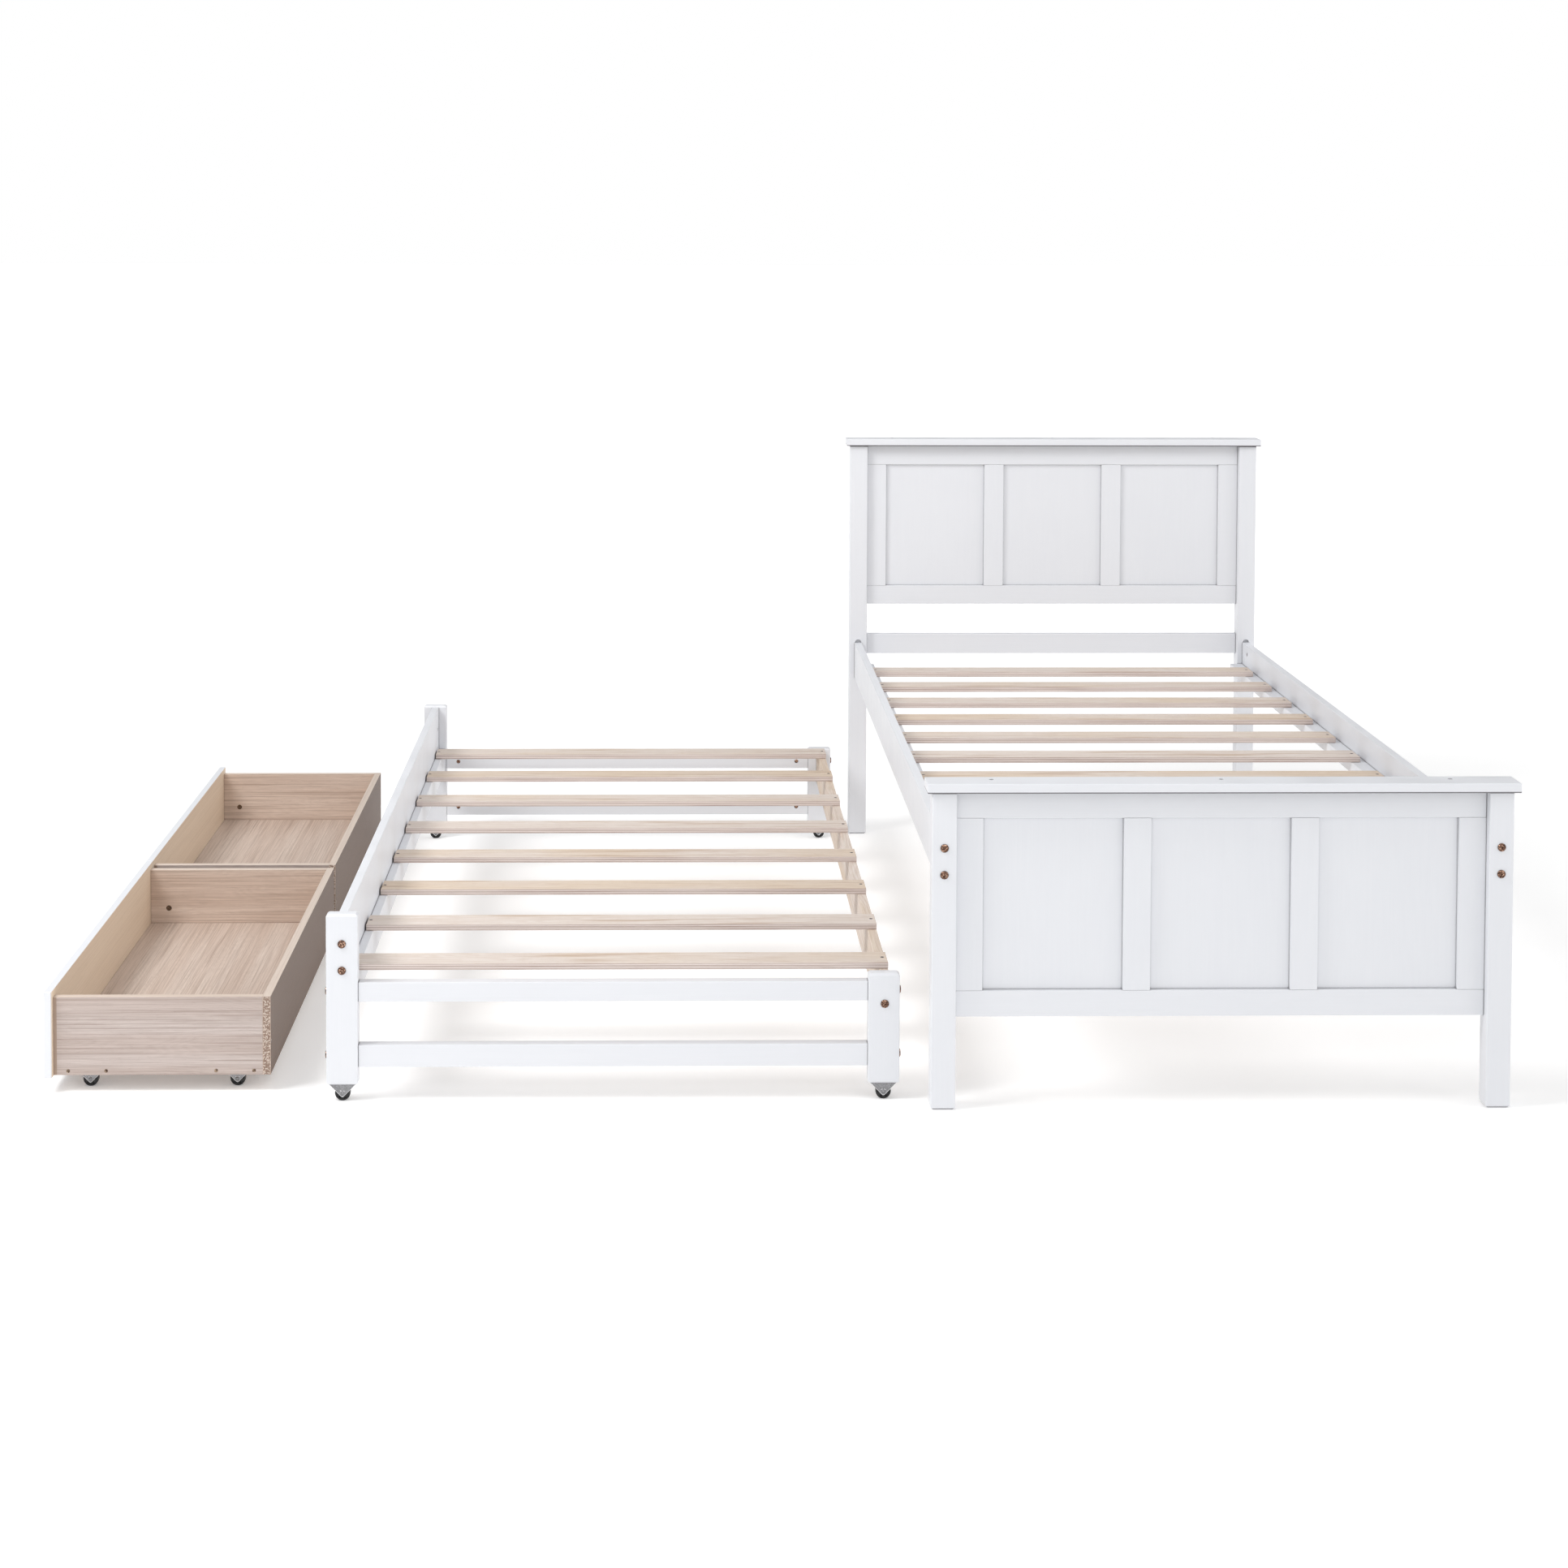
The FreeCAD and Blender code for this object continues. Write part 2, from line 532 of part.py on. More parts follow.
def end_frame(name, y, height, frame_bottom, outward):
    """Posts, cap, rails, stiles and panels of the headboard or footboard."""
    bed_post(f"{name}_post_left", "bed_left", y, height, outward)
    bed_post(f"{name}_post_right", "bed_right", y, height, outward)
    cap = board(f"{name}_cap", "bed_left - cap_overhang", f"{y} - cap_overhang", height,
                "clear_width + 2 * post_width + 2 * cap_overhang",
                "post_depth + 2 * cap_overhang", "cap_thickness", "post_round")
    middle = "clear_width / 2 + post_width + cap_overhang"
    depth = "cap_overhang + frame_setback + frame_thickness / 2"
    for side in CAP_SCREWS:
        x = f"{middle} + {side} * cap_screw_spread"
        drill(cap, x, depth, "cap_thickness - cap_screw_sink", UPRIGHT,
              "cap_hole_diameter", "cap_screw_sink * 2")
        countersink(cap, x, depth, "cap_thickness - cap_screw_sink", DOWN)
    keep(cap)

    face = f"{y} + frame_setback"
    top = f"{height} - top_rail_height"
    upper = board(f"{name}_top_rail", "bed_left + post_width", face, top,
                  "clear_width", "frame_thickness", "top_rail_height")
    add_box(upper, "Subtractive", "-groove_depth", "groove_y", 0,
            "clear_width + 2 * groove_depth", "groove_width", "groove_depth")
    for side in CAP_SCREWS:
        drill(upper, f"clear_width / 2 + {side} * cap_screw_spread", "frame_thickness / 2",
              "top_rail_height", DOWN, "screw_diameter + 2 * screw_gap", "screw_length")
    lower = board(f"{name}_bottom_rail", "bed_left + post_width", face, frame_bottom,
                  "clear_width", "frame_thickness", "bottom_rail_height")
    add_box(lower, "Subtractive", "-groove_depth", "groove_y",
            "bottom_rail_height - groove_depth",
            "clear_width + 2 * groove_depth", "groove_width", "2 * groove_depth")
    keep(upper, lower)

    panel_bottom = f"{frame_bottom} + bottom_rail_height"
    panel_height = f"({top} - ({panel_bottom}))"
    stile = board(f"pattern_{name}_stile", 0, 0, 0, "stile_width", "frame_thickness",
                  panel_height, "sheet_edge")
    for x in ("-groove_depth", "stile_width - groove_depth"):
        add_box(stile, "Subtractive", x, "groove_y", "-groove_depth", "2 * groove_depth",
                "groove_width", f"{panel_height} + 2 * groove_depth")
    panel = board(f"pattern_{name}_panel", 0, 0, 0, "panel_width + 2 * panel_tongue",
                  "panel_thickness", f"{panel_height} + 2 * panel_tongue", "sheet_edge")
    step = "(panel_width + stile_width)"
    first = "bed_left + post_width"
    group(f"{name}_stiles", copies(stile, [
        (f"{first} + {number} * {step}", face, panel_bottom, None)
        for number in range(STILES)]))
    group(f"{name}_panels", copies(panel, [
        (f"{first} + stile_width - panel_tongue + {number} * {step}",
         f"{face} + panel_setback", f"{panel_bottom} - panel_tongue", None)
        for number in range(PANELS)]))


def side_rail(label, x, open_side):
    """A bed side rail with bolt holes in its ends and barrel nut holes from inside."""
    body = board(label, x, "foot_y + post_depth", "side_rail_bottom",
                 "side_rail_thickness", "clear_length", "side_rail_height")
    depth = "bed_nut_inset + bolt_end + bolt_clearance"
    for level in ("bed_bolt_low", "bed_bolt_high"):
        z = f"{level} - side_rail_bottom"
        for end, turn, nut_y in ((0, ALONG_Y, "bed_nut_inset"),
                                 ("clear_length", AGAINST_Y, "clear_length - bed_nut_inset")):
            drill(body, "side_rail_thickness / 2", end, z, turn, "bolt_hole_diameter", depth)
            nut_x = "side_rail_thickness" if open_side > 0 else 0
            nut_hole(body, nut_x, nut_y, z, AGAINST_X if open_side > 0 else ALONG_X,
                     "side_rail_thickness")
    keep(body)


def slat(label, length, left_inset, right_inset):
    """A slat along X with a countersunk screw hole near each end."""
    body = board(label, 0, 0, 0, length, "slat_width", "slat_thickness", "slat_round")
    for x in (left_inset, f"{length} - ({right_inset})"):
        countersink(body, x, "slat_width / 2", "slat_thickness", DOWN)
    return body


def slat_rows(first, pitch, count):
    """The places along the bed of a row of slats."""
    return [f"{first} + {number} * {pitch}" for number in range(count)]


def screw_row(body, x, rows, shift, top):
    """Pilot holes under the screws of a row of slats."""
    for row in rows:
        drill(body, x, f"{row} - ({shift}) + slat_width / 2", top, DOWN,
              "screw_diameter + 2 * screw_gap", "screw_length - slat_thickness + screw_gap")


# ---------------------------------------------------------------------------
# Trundle
# ---------------------------------------------------------------------------
def trundle_posts(name, x, top, long_bolts, bolt_x):
    """The foot and head posts of one long side of the trundle, with their bolt holes."""
    height = f"{top} - caster_height"
    members = []
    for end, y in (("foot", "trundle_foot"), ("head", "trundle_head - trundle_post_depth")):
        post = board(f"{name}_post_{end}", x, y, "caster_height", "trundle_post_width",
                     "trundle_post_depth", height, "post_round", ("bottom", "top"))
        for level in long_bolts:
            drill(post, f"{bolt_x} - ({x})", "-post_round", f"{level} - caster_height", ALONG_Y,
                  "bolt_hole_diameter", "trundle_post_depth + 2 * post_round")
        rail_y = "end_rail_thickness / 2"
        bolt_y = f"trundle_post_depth - {rail_y}" if end == "foot" else rail_y
        for level in CROSS_LEVELS:
            drill(post, "-post_round", bolt_y, f"{level} - caster_height", ALONG_X,
                  "bolt_hole_diameter", "trundle_post_width + 2 * post_round")
        members.append(post)
    group(f"trundle_{name}_posts", members)


def end_rails(end, y, inside):
    """The two cross rails of one end; inside is the side that faces the other end."""
    members = []
    depth = "trundle_nut_inset + bolt_end + bolt_clearance"
    for name in ("upper", "lower"):
        rail = board(f"{end}_{name}_rail", "trundle_left + trundle_post_width", y,
                     f"{name}_end_rail_bottom", "cross_rail_length", "end_rail_thickness",
                     f"{name}_end_rail_height")
        z = f"{name}_end_rail_height / 2"
        for x, turn, nut_x in ((0, ALONG_X, "trundle_nut_inset"),
                               ("cross_rail_length", AGAINST_X,
                                "cross_rail_length - trundle_nut_inset")):
            drill(rail, x, "end_rail_thickness / 2", z, turn, "bolt_hole_diameter", depth)
            nut_y = "end_rail_thickness" if inside > 0 else 0
            nut_hole(rail, nut_x, nut_y, z, AGAINST_Y if inside > 0 else ALONG_Y,
                     "end_rail_thickness")
        members.append(rail)
    group(f"trundle_{end}_rails", members)


def long_rail(label, x, bottom, height, levels, open_side):
    """A long rail between the trundle's posts, bolted at both ends."""
    body = board(label, x, "trundle_foot + trundle_post_depth", bottom,
                 "trundle_rail_thickness", "long_rail_length", height)
    depth = "trundle_nut_inset + bolt_end + bolt_clearance"
    for level in levels:
        z = f"{level} - ({bottom})"
        for end, turn, nut_y in ((0, ALONG_Y, "trundle_nut_inset"),
                                 ("long_rail_length", AGAINST_Y,
                                  "long_rail_length - trundle_nut_inset")):
            drill(body, "trundle_rail_thickness / 2", end, z, turn, "bolt_hole_diameter", depth)
            nut_x = "trundle_rail_thickness" if open_side > 0 else 0
            nut_hole(body, nut_x, nut_y, z, AGAINST_X if open_side > 0 else ALONG_X,
                     "trundle_rail_thickness")
    keep(body)
    return body


# ---------------------------------------------------------------------------
# Drawers
# ---------------------------------------------------------------------------
def drawer(name, start):
    """One drawer; start is the place of its front's end nearest the foot."""
    front = board(f"{name}_front", "drawer_left", start, "drawer_front_bottom", "drawer_board",
                  "drawer_front_length", "drawer_front_height")
    near = f"{start} + drawer_side_inset"
    far = f"{near} + box_width - drawer_board"
    box_x = "drawer_left + drawer_board"
    fixing_z = "corner_fixing_height - drawer_box_bottom"
    caster_x = ("drawer_left + front_caster_inset", "drawer_right - back_caster_inset")

    sides = []
    blocks = []
    screws = []
    fittings = []
    casters = []
    for end, y, inward in (("near", near, 1), ("far", far, -1)):
        side = board(f"{name}_{end}_side", box_x, y, "drawer_box_bottom", "side_length",
                     "drawer_board", "drawer_box_height", "sheet_edge")
        sides.append(side)
        outer = 0 if inward > 0 else "drawer_board"
        inner = "drawer_board" if inward > 0 else 0
        into_side = ALONG_Y if inward > 0 else AGAINST_Y
        out_of_side = AGAINST_Y if inward > 0 else ALONG_Y
        # back screw and front cam
        middle_y = f"{y} + drawer_board / 2"
        drill(side, "side_length", "drawer_board / 2", fixing_z, AGAINST_X,
              "screw_diameter + 2 * screw_gap", "screw_length - drawer_board + screw_gap")
        screws.append(("drawer_right", middle_y, "corner_fixing_height", AGAINST_X))
        drill(side, "cam_inset", inner, fixing_z, out_of_side,
              "cam_diameter + 2 * nut_gap", "cam_length + nut_gap")
        drill(side, 0, "drawer_board / 2", fixing_z, ALONG_X,
              "cam_pin_diameter + 2 * nut_gap", "cam_inset")
        cam_turn = out_of_side * QUARTER
        fittings += copies(cam, [(f"{box_x} + cam_inset", f"{y} + {inner}",
                                  "corner_fixing_height", cam_turn)])
        fittings += copies(cam_pin, [(f"{box_x} - cam_pin_depth", middle_y,
                                      "corner_fixing_height", ALONG_X)])
        drill(front, "drawer_board", f"{middle_y} - ({start})",
              "corner_fixing_height - drawer_front_bottom", AGAINST_X,
              "cam_pin_diameter + 2 * nut_gap", "cam_pin_depth + nut_gap")
        # casters under blocks
        block_y = f"{y} + drawer_board" if inward > 0 else f"{y} - caster_block_width"
        for corner, x in zip(("front", "back"), caster_x):
            block = board(f"{name}_{end}_{corner}_block",
                          f"{x} - caster_block_length / 2", block_y, "caster_height",
                          "caster_block_length", "caster_block_width",
                          "drawer_floor_height - caster_height", "sheet_edge")
            for side_sign in (-1, 1):
                screw_x = f"{x} + {side_sign} * block_screw_offset"
                countersink(side, f"{screw_x} - ({box_x})", outer,
                            "block_screw_height - drawer_box_bottom", into_side)
                block_edge = 0 if inward > 0 else "caster_block_width"
                drill(block, f"caster_block_length / 2 + {side_sign} * block_screw_offset",
                      block_edge, "block_screw_height - caster_height", into_side,
                      "screw_diameter + 2 * screw_gap",
                      "screw_length - drawer_board + screw_gap")
                screws.append((screw_x, f"{y} + {outer}", "block_screw_height", into_side))
            blocks.append(block)
            casters.append((x, f"{block_y} + caster_block_width / 2"))
    keep(front)
    group(f"{name}_sides", sides)

    back = board(f"{name}_back", "drawer_right - drawer_board", near, "drawer_box_bottom",
                 "drawer_board", "box_width", "drawer_box_height", "sheet_edge")
    for y in ("drawer_board / 2", "box_width - drawer_board / 2"):
        countersink(back, "drawer_board", y, fixing_z, AGAINST_X)
    keep(back)
    keep(board(f"{name}_bottom", box_x, f"{near} + drawer_board", "drawer_floor_height",
               "side_length", "box_width - 2 * drawer_board", "drawer_floor_thickness",
               "sheet_edge"))
    group(f"{name}_caster_blocks", blocks)
    group(f"{name}_fasteners", copies(screw, screws) + fittings)
    add_casters(name, casters)


def add_casters(name, spots):
    """Forks with their axles in one sub-part, and each wheel in its own."""
    forks = []
    for x, y in spots:
        forks += copies(fork_pattern, [(x, y, 0, None)]) + copies(axle_pattern, [(x, y, 0, None)])
    group(f"{name}_caster_forks", forks)
    for number, (x, y) in enumerate(spots, start=1):
        wheel(f"{name}_wheel_{number}", x, y)


def cam_fitting():
    """A cam along Z with a pin hole across it and a driver slot in its face."""
    body = start_body("pattern_cam")
    disc = body.newObject("PartDesign::AdditiveCylinder", "Disc")
    bind(disc, Radius="cam_diameter / 2", Height="cam_length")
    drill(body, 0, 0, "drawer_board / 2", ALONG_Y, "cam_pin_diameter + 2 * nut_gap",
          "cam_diameter")
    add_box(body, "Subtractive", "-cam_slot_length / 2", "-sheet_edge", 0,
            "cam_slot_length", "2 * sheet_edge", "2 * sheet_edge")
    return body


def pin_fitting():
    """The pin between a drawer's front and its cam, along Z."""
    body = start_body("pattern_cam_pin")
    pin = body.newObject("PartDesign::AdditiveCylinder", "Pin")
    bind(pin, Radius="cam_pin_diameter / 2", Height="cam_pin_depth + cam_inset - nut_gap")
    return body


# ---------------------------------------------------------------------------
# The whole set
# ---------------------------------------------------------------------------
sizes = fill_sheet("Sizes", SIZES)
layout = fill_sheet("Layout", [(alias, "=" + qualify(formula), "worked out from the sizes")
                               for alias, formula in LAYOUT])
doc.recompute()

screw = wood_screw()
nut = barrel_nut()
cam = cam_fitting()
cam_pin = pin_fitting()
fork_pattern = fork()
axle_pattern = axle()

# bed
end_frame("headboard", "head_y", "headboard_post_height", "headboard_frame_bottom", 1)
keep(board("headboard_lower_rail", "bed_left + post_width", "head_y + frame_setback",
           "lower_rail_bottom", "clear_width", "frame_thickness", "lower_rail_height"))
end_frame("footboard", "foot_y", "footboard_post_height", "footboard_frame_bottom", -1)
side_rail("side_rail_left", "bed_left + rail_inset", 1)
side_rail("side_rail_right", "bed_right + rail_inset", -1)

bed_rows = slat_rows("(foot_y + post_depth + bed_slat_foot_gap)", "bed_slat_pitch",
                     int(sizes.bed_slat_count))
rail_face = "(clear_width / 2 + rail_inset)"
cleats = []
bed_screws = []
for side, x, screw_x in (
        ("left", f"bed_x - {rail_face}", "bed_x - clear_width / 2 + slat_screw_inset"),
        ("right", f"bed_x + {rail_face} - bed_cleat_width",
         "bed_x + clear_width / 2 - slat_screw_inset")):
    cleat = board(f"bed_cleat_{side}", x, "foot_y + post_depth",
                  "bed_deck_height - bed_cleat_height", "bed_cleat_width", "clear_length",
                  "bed_cleat_height")
    screw_row(cleat, f"{screw_x} - ({x})", bed_rows, "foot_y + post_depth", "bed_cleat_height")
    cleats.append(cleat)
    bed_screws += [(screw_x, f"{row} + slat_width / 2", "bed_deck_height + slat_thickness", DOWN)
                   for row in bed_rows]
group("bed_slat_cleats", cleats)
bed_slat = slat("pattern_bed_slat", "clear_width", "slat_screw_inset", "slat_screw_inset")
group("bed_slats", copies(bed_slat, [
    ("bed_x - clear_width / 2", row, "bed_deck_height", None) for row in bed_rows]))

for y, height in (("head_y", "headboard_post_height"), ("foot_y", "footboard_post_height")):
    bed_screws += [(f"bed_x + {side} * cap_screw_spread",
                    f"{y} + frame_setback + frame_thickness / 2",
                    f"{height} + cap_thickness - cap_screw_sink", DOWN) for side in CAP_SCREWS]
group("bed_screws", copies(screw, bed_screws))

bed_bolt = bolt("bed_bolt_length")
bed_bolts = []
bed_nuts = []
for sign, nut_turn in ((-1, AGAINST_X), (1, ALONG_X)):
    x = f"bed_x + {sign} * bed_bolt_x"
    for level in ("bed_bolt_low", "bed_bolt_high"):
        bed_bolts.append((x, "foot_y", level, ALONG_Y))
        bed_bolts.append((x, "head_y + post_depth", level, AGAINST_Y))
        for y in ("foot_y + post_depth + bed_nut_inset", "head_y - bed_nut_inset"):
            bed_nuts.append((f"{x} - {sign} * nut_length / 2", y, level, nut_turn))
group("bed_bolts", copies(bed_bolt, bed_bolts))
group("bed_barrel_nuts", copies(nut, bed_nuts))

# trundle
front_bolt_x = "front_rail_x + trundle_rail_thickness / 2"
back_bolt_x = "back_rail_x + trundle_rail_thickness / 2"
front_levels = ("front_bolt_low", "front_bolt_high")
back_levels = ("back_bolt_height",)
back_post_x = "trundle_right - trundle_post_width"
trundle_posts("front", "trundle_left", "front_post_top", front_levels, front_bolt_x)
trundle_posts("back", back_post_x, "trundle_deck_height", back_levels, back_bolt_x)
foot_rail_y = "trundle_foot + trundle_post_depth - end_rail_thickness"
head_rail_y = "trundle_head - trundle_post_depth"
end_rails("foot", foot_rail_y, 1)
end_rails("head", head_rail_y, -1)
long_rail("trundle_front_rail", "front_rail_x", "front_rail_bottom",
          "front_rail_top - front_rail_bottom", front_levels, 1)
back_rail = long_rail("trundle_back_rail", "back_rail_x",
                      "trundle_deck_height - back_rail_height", "back_rail_height",
                      back_levels, -1)

trundle_rows = slat_rows("(trundle_foot + trundle_slat_foot_gap)", "trundle_slat_pitch",
                         int(sizes.trundle_slat_count))
rail_start = "trundle_foot + trundle_post_depth"
cleat_screw_x = "cleat_x + trundle_rail_thickness / 2"
trundle_cleat = board("trundle_slat_cleat", "cleat_x", rail_start, "front_rail_bottom",
                      "trundle_rail_thickness", "long_rail_length",
                      "trundle_deck_height - front_rail_bottom")
screw_row(trundle_cleat, "trundle_rail_thickness / 2", trundle_rows, rail_start,
          "trundle_deck_height - front_rail_bottom")
keep(trundle_cleat)
screw_row(back_rail, "trundle_rail_thickness / 2", trundle_rows, rail_start,
          "back_rail_height")
trundle_slat = slat("pattern_trundle_slat", "trundle_slat_length",
                    "trundle_rail_thickness / 2 - slat_rail_gap", "trundle_rail_thickness / 2")
group("trundle_slats", copies(trundle_slat, [
    ("trundle_slat_x", row, "trundle_deck_height", None) for row in trundle_rows]))
group("trundle_screws", copies(screw, [
    (x, f"{row} + slat_width / 2", "trundle_deck_height + slat_thickness", DOWN)
    for x in (cleat_screw_x, back_bolt_x) for row in trundle_rows]))

long_bolt = bolt("long_bolt_length")
cross_bolt = bolt("cross_bolt_length")
long_bolts = []
cross_bolts = []
trundle_nuts = []
for x, levels, sign, turn in ((front_bolt_x, front_levels, 1, AGAINST_X),
                              (back_bolt_x, back_levels, -1, ALONG_X)):
    for level in levels:
        long_bolts.append((x, "trundle_foot", level, ALONG_Y))
        long_bolts.append((x, "trundle_head", level, AGAINST_Y))
        for y in ("trundle_foot + trundle_post_depth + trundle_nut_inset",
                  "trundle_head - trundle_post_depth - trundle_nut_inset"):
            trundle_nuts.append((f"{x} + {sign} * nut_length / 2", y, level, turn))
for rail_y, sign, turn in ((foot_rail_y, 1, AGAINST_Y), (head_rail_y, -1, ALONG_Y)):
    y = f"{rail_y} + end_rail_thickness / 2"
    for level in CROSS_LEVELS:
        cross_bolts.append(("trundle_left", y, level, ALONG_X))
        cross_bolts.append(("trundle_right", y, level, AGAINST_X))
        for x in ("trundle_left + trundle_post_width + trundle_nut_inset",
                  "trundle_right - trundle_post_width - trundle_nut_inset"):
            trundle_nuts.append((x, f"{y} + {sign} * nut_length / 2", level, turn * QUARTER))
group("trundle_bolts", copies(long_bolt, long_bolts) + copies(cross_bolt, cross_bolts))
group("trundle_barrel_nuts", copies(nut, trundle_nuts))
add_casters("trundle", [
    (f"{x} + trundle_post_width / 2", y)
    for x in ("trundle_left", back_post_x)
    for y in ("trundle_foot + trundle_post_depth / 2", "trundle_head - trundle_post_depth / 2")])

# drawers
drawer("drawer_foot", "drawer_offset - drawer_pair_gap / 2 - drawer_front_length")
drawer("drawer_head", "drawer_offset + drawer_pair_gap / 2")

# ---------------------------------------------------------------------------
# Check and write
# ---------------------------------------------------------------------------
doc.recompute()
for obj in doc.Objects:
    if "Invalid" in obj.State or "Error" in obj.State:
        raise RuntimeError(f"{obj.Label} did not build: {obj.State}")
os.makedirs("parts", exist_ok=True)
for piece in SUB_PARTS:
    shape = piece.Shape
    if shape.isNull() or not shape.isValid() or not shape.Solids:
        raise RuntimeError(f"{piece.Label} has no valid shape")
    shape.exportStep(os.path.join("parts", f"{piece.Label}.step"))
print(len(SUB_PARTS), "sub-parts written")
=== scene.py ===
"""Finishes, casters and studio of a trundle bed with two rolling drawers.

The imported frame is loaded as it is. Its boards and hardware get their finishes here, the
caster wheels are turned again with their moulded sides, the caster forks get their rolled rims
and pips, and a plain studio is set round it.
Lengths are in metres, +Z is up, X runs across the bed and Y from its foot to its head."""

import math

import bpy
import numpy as np
from bpy.props import FloatProperty, FloatVectorProperty, IntProperty, PointerProperty
from bpy.types import Operator, Panel, PropertyGroup
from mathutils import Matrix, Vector


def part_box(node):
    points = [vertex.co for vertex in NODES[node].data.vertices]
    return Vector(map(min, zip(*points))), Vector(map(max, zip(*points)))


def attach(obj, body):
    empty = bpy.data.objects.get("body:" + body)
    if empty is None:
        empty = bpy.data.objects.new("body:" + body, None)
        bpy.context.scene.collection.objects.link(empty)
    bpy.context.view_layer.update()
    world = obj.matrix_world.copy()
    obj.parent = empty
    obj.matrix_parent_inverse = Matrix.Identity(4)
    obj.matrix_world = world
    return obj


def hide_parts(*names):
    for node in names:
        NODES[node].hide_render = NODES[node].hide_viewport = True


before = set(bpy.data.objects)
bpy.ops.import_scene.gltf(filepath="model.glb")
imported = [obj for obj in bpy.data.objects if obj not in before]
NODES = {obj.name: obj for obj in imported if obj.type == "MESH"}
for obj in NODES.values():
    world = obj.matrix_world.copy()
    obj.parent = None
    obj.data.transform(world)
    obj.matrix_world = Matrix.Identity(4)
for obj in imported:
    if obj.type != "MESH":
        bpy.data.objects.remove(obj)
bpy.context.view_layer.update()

bl_info = {
    "name": "Trundle Bed Finishes",
    "version": (1, 0, 0),
    "blender": (4, 5, 0),
    "location": "3D View > Sidebar > Trundle Bed",
    "description": "Paint, timber, laminate, hardware and casters of a trundle bed",
    "category": "Object",
}

MM = 0.001

# turns that lay a board's grain along X, for each way that it runs
GRAIN_TURNS = {
    "across": (0, 0, 0),
    "lengthwise": (0, 0, -math.pi / 2),
    "upright": (0, math.pi / 2, 0),
}
ENDS = ("headboard", "footboard")
# painted boards by the way their grain runs
PAINTED_BOARDS = {
    "across": (
        *(f"{end}_{board}" for end in ENDS for board in ("cap", "top_rail", "bottom_rail")),
        "headboard_lower_rail", "trundle_foot_rails", "trundle_head_rails",
    ),
    "lengthwise": (
        "side_rail_left", "side_rail_right", "bed_slat_cleats",
        "trundle_front_rail", "trundle_slat_cleat",
    ),
    "upright": (
        *(f"{end}_{board}" for end in ENDS
          for board in ("post_left", "post_right", "stiles", "panels")),
        "trundle_front_posts", "trundle_back_posts",
    ),
}
SLAT_ROWS = {"bed_slats": 10, "trundle_slats": 8}
SLAT_WIDTH = 65 * MM
DRAWERS = ("drawer_foot", "drawer_head")
ROLLING_UNITS = ("trundle", *DRAWERS)
WHEELS_PER_UNIT = 4


# --- Settings that a user would change ---
def tint(name, description, default):
    """A colour property in linear light."""
    return FloatVectorProperty(
        name=name, description=description, subtype="COLOR", size=3, min=0, max=1,
        default=default,
    )


def share_setting(name, description, default):
    """A property between none and all."""
    return FloatProperty(
        name=name, description=description, subtype="FACTOR", min=0, max=1, default=default,
    )


def length_setting(name, description, default, most):
    """A small length in metres."""
    return FloatProperty(
        name=name, description=description, unit="LENGTH", precision=5, min=0, max=most,
        default=default,
    )


def light_setting(name, description, default):
    """The strength of a light."""
    return FloatProperty(name=name, description=description, min=0, max=20, default=default)


class PaintSettings(PropertyGroup):
    """The white paint of the frames and drawer fronts."""

    colour: tint("Paint", "Body colour of the paint", (0.748, 0.758, 0.788))
    shade: tint("Grain shade", "Paint where it has sunk into the grain", (0.722, 0.734, 0.768))
    # painted shade: colour and depth of the shade painted into corners between boards and in a band
    # under the caps
    painted_shade_colour: tint("Joint", "Shade in the joints between boards", (0.16, 0.155, 0.165))
    joint: share_setting("Joint depth", "How dark the joints between boards are", 0.6)
    # painted shadow: height of the dark band painted at the underside of the caps
    painted_cap_shadow: length_setting("Cap gap", "Height of the dark gap under the caps", 0.0026, 0.01)
    relief: length_setting("Grain relief", "Depth of the grain that shows through the paint",
                           0.00005, 0.002)
    roughness: share_setting("Roughness", "Satin of the paint", 0.42)


class TimberSettings(PropertyGroup):
    """The bare plywood slats and the unpainted rail."""

    pale: tint("Pale veneer", "Palest slat faces", (0.735, 0.665, 0.615))
    tan: tint("Tan veneer", "Warmest slat faces", (0.70, 0.585, 0.47))
    streak: tint("Streak", "Darker lines of the grain", (0.46, 0.32, 0.22))
    edge_pale: tint("Pale ply", "Light plies of a slat's edge", (0.79, 0.705, 0.66))
    edge_dark: tint("Dark ply", "Dark plies of a slat's edge", (0.36, 0.255, 0.215))
    knot: tint("Knot", "Middle of a knot", (0.16, 0.085, 0.05))
    roughness: share_setting("Roughness", "Dryness of the bare wood", 0.62)


class LaminateSettings(PropertyGroup):
    """The printed oak laminate of the drawer boxes."""

    light: tint("Light oak", "Pale lines of the print", (0.715, 0.595, 0.51))
    middle: tint("Middle oak", "Body colour of the print", (0.65, 0.52, 0.435))
    dark: tint("Dark oak", "Dark lines of the print", (0.27, 0.18, 0.135))
    bottom: tint("Bottom tint", "What the print of bottoms and caster blocks keeps", (0.885, 0.89, 0.90))
    outer_side: tint("Outer side tint", "What the print outside the sides keeps", (0.80, 0.83, 0.90))
    # colour that darkens the outside of the drawer's back
    outer: tint("Outer back", "Darker print of the drawer's back", (0.18, 0.115, 0.077))
    skin: tint("Front skin", "Darker layer between a drawer's front and its sides", (0.33, 0.24, 0.185))
    inner: tint("Inner front", "Paler, yellower print inside the drawer's front", (0.80, 0.66, 0.49))
    banding: tint("Edge band", "Band on the boards' top edges", (0.64, 0.55, 0.475))
    roughness: share_setting("Roughness", "Satin of the laminate", 0.5)


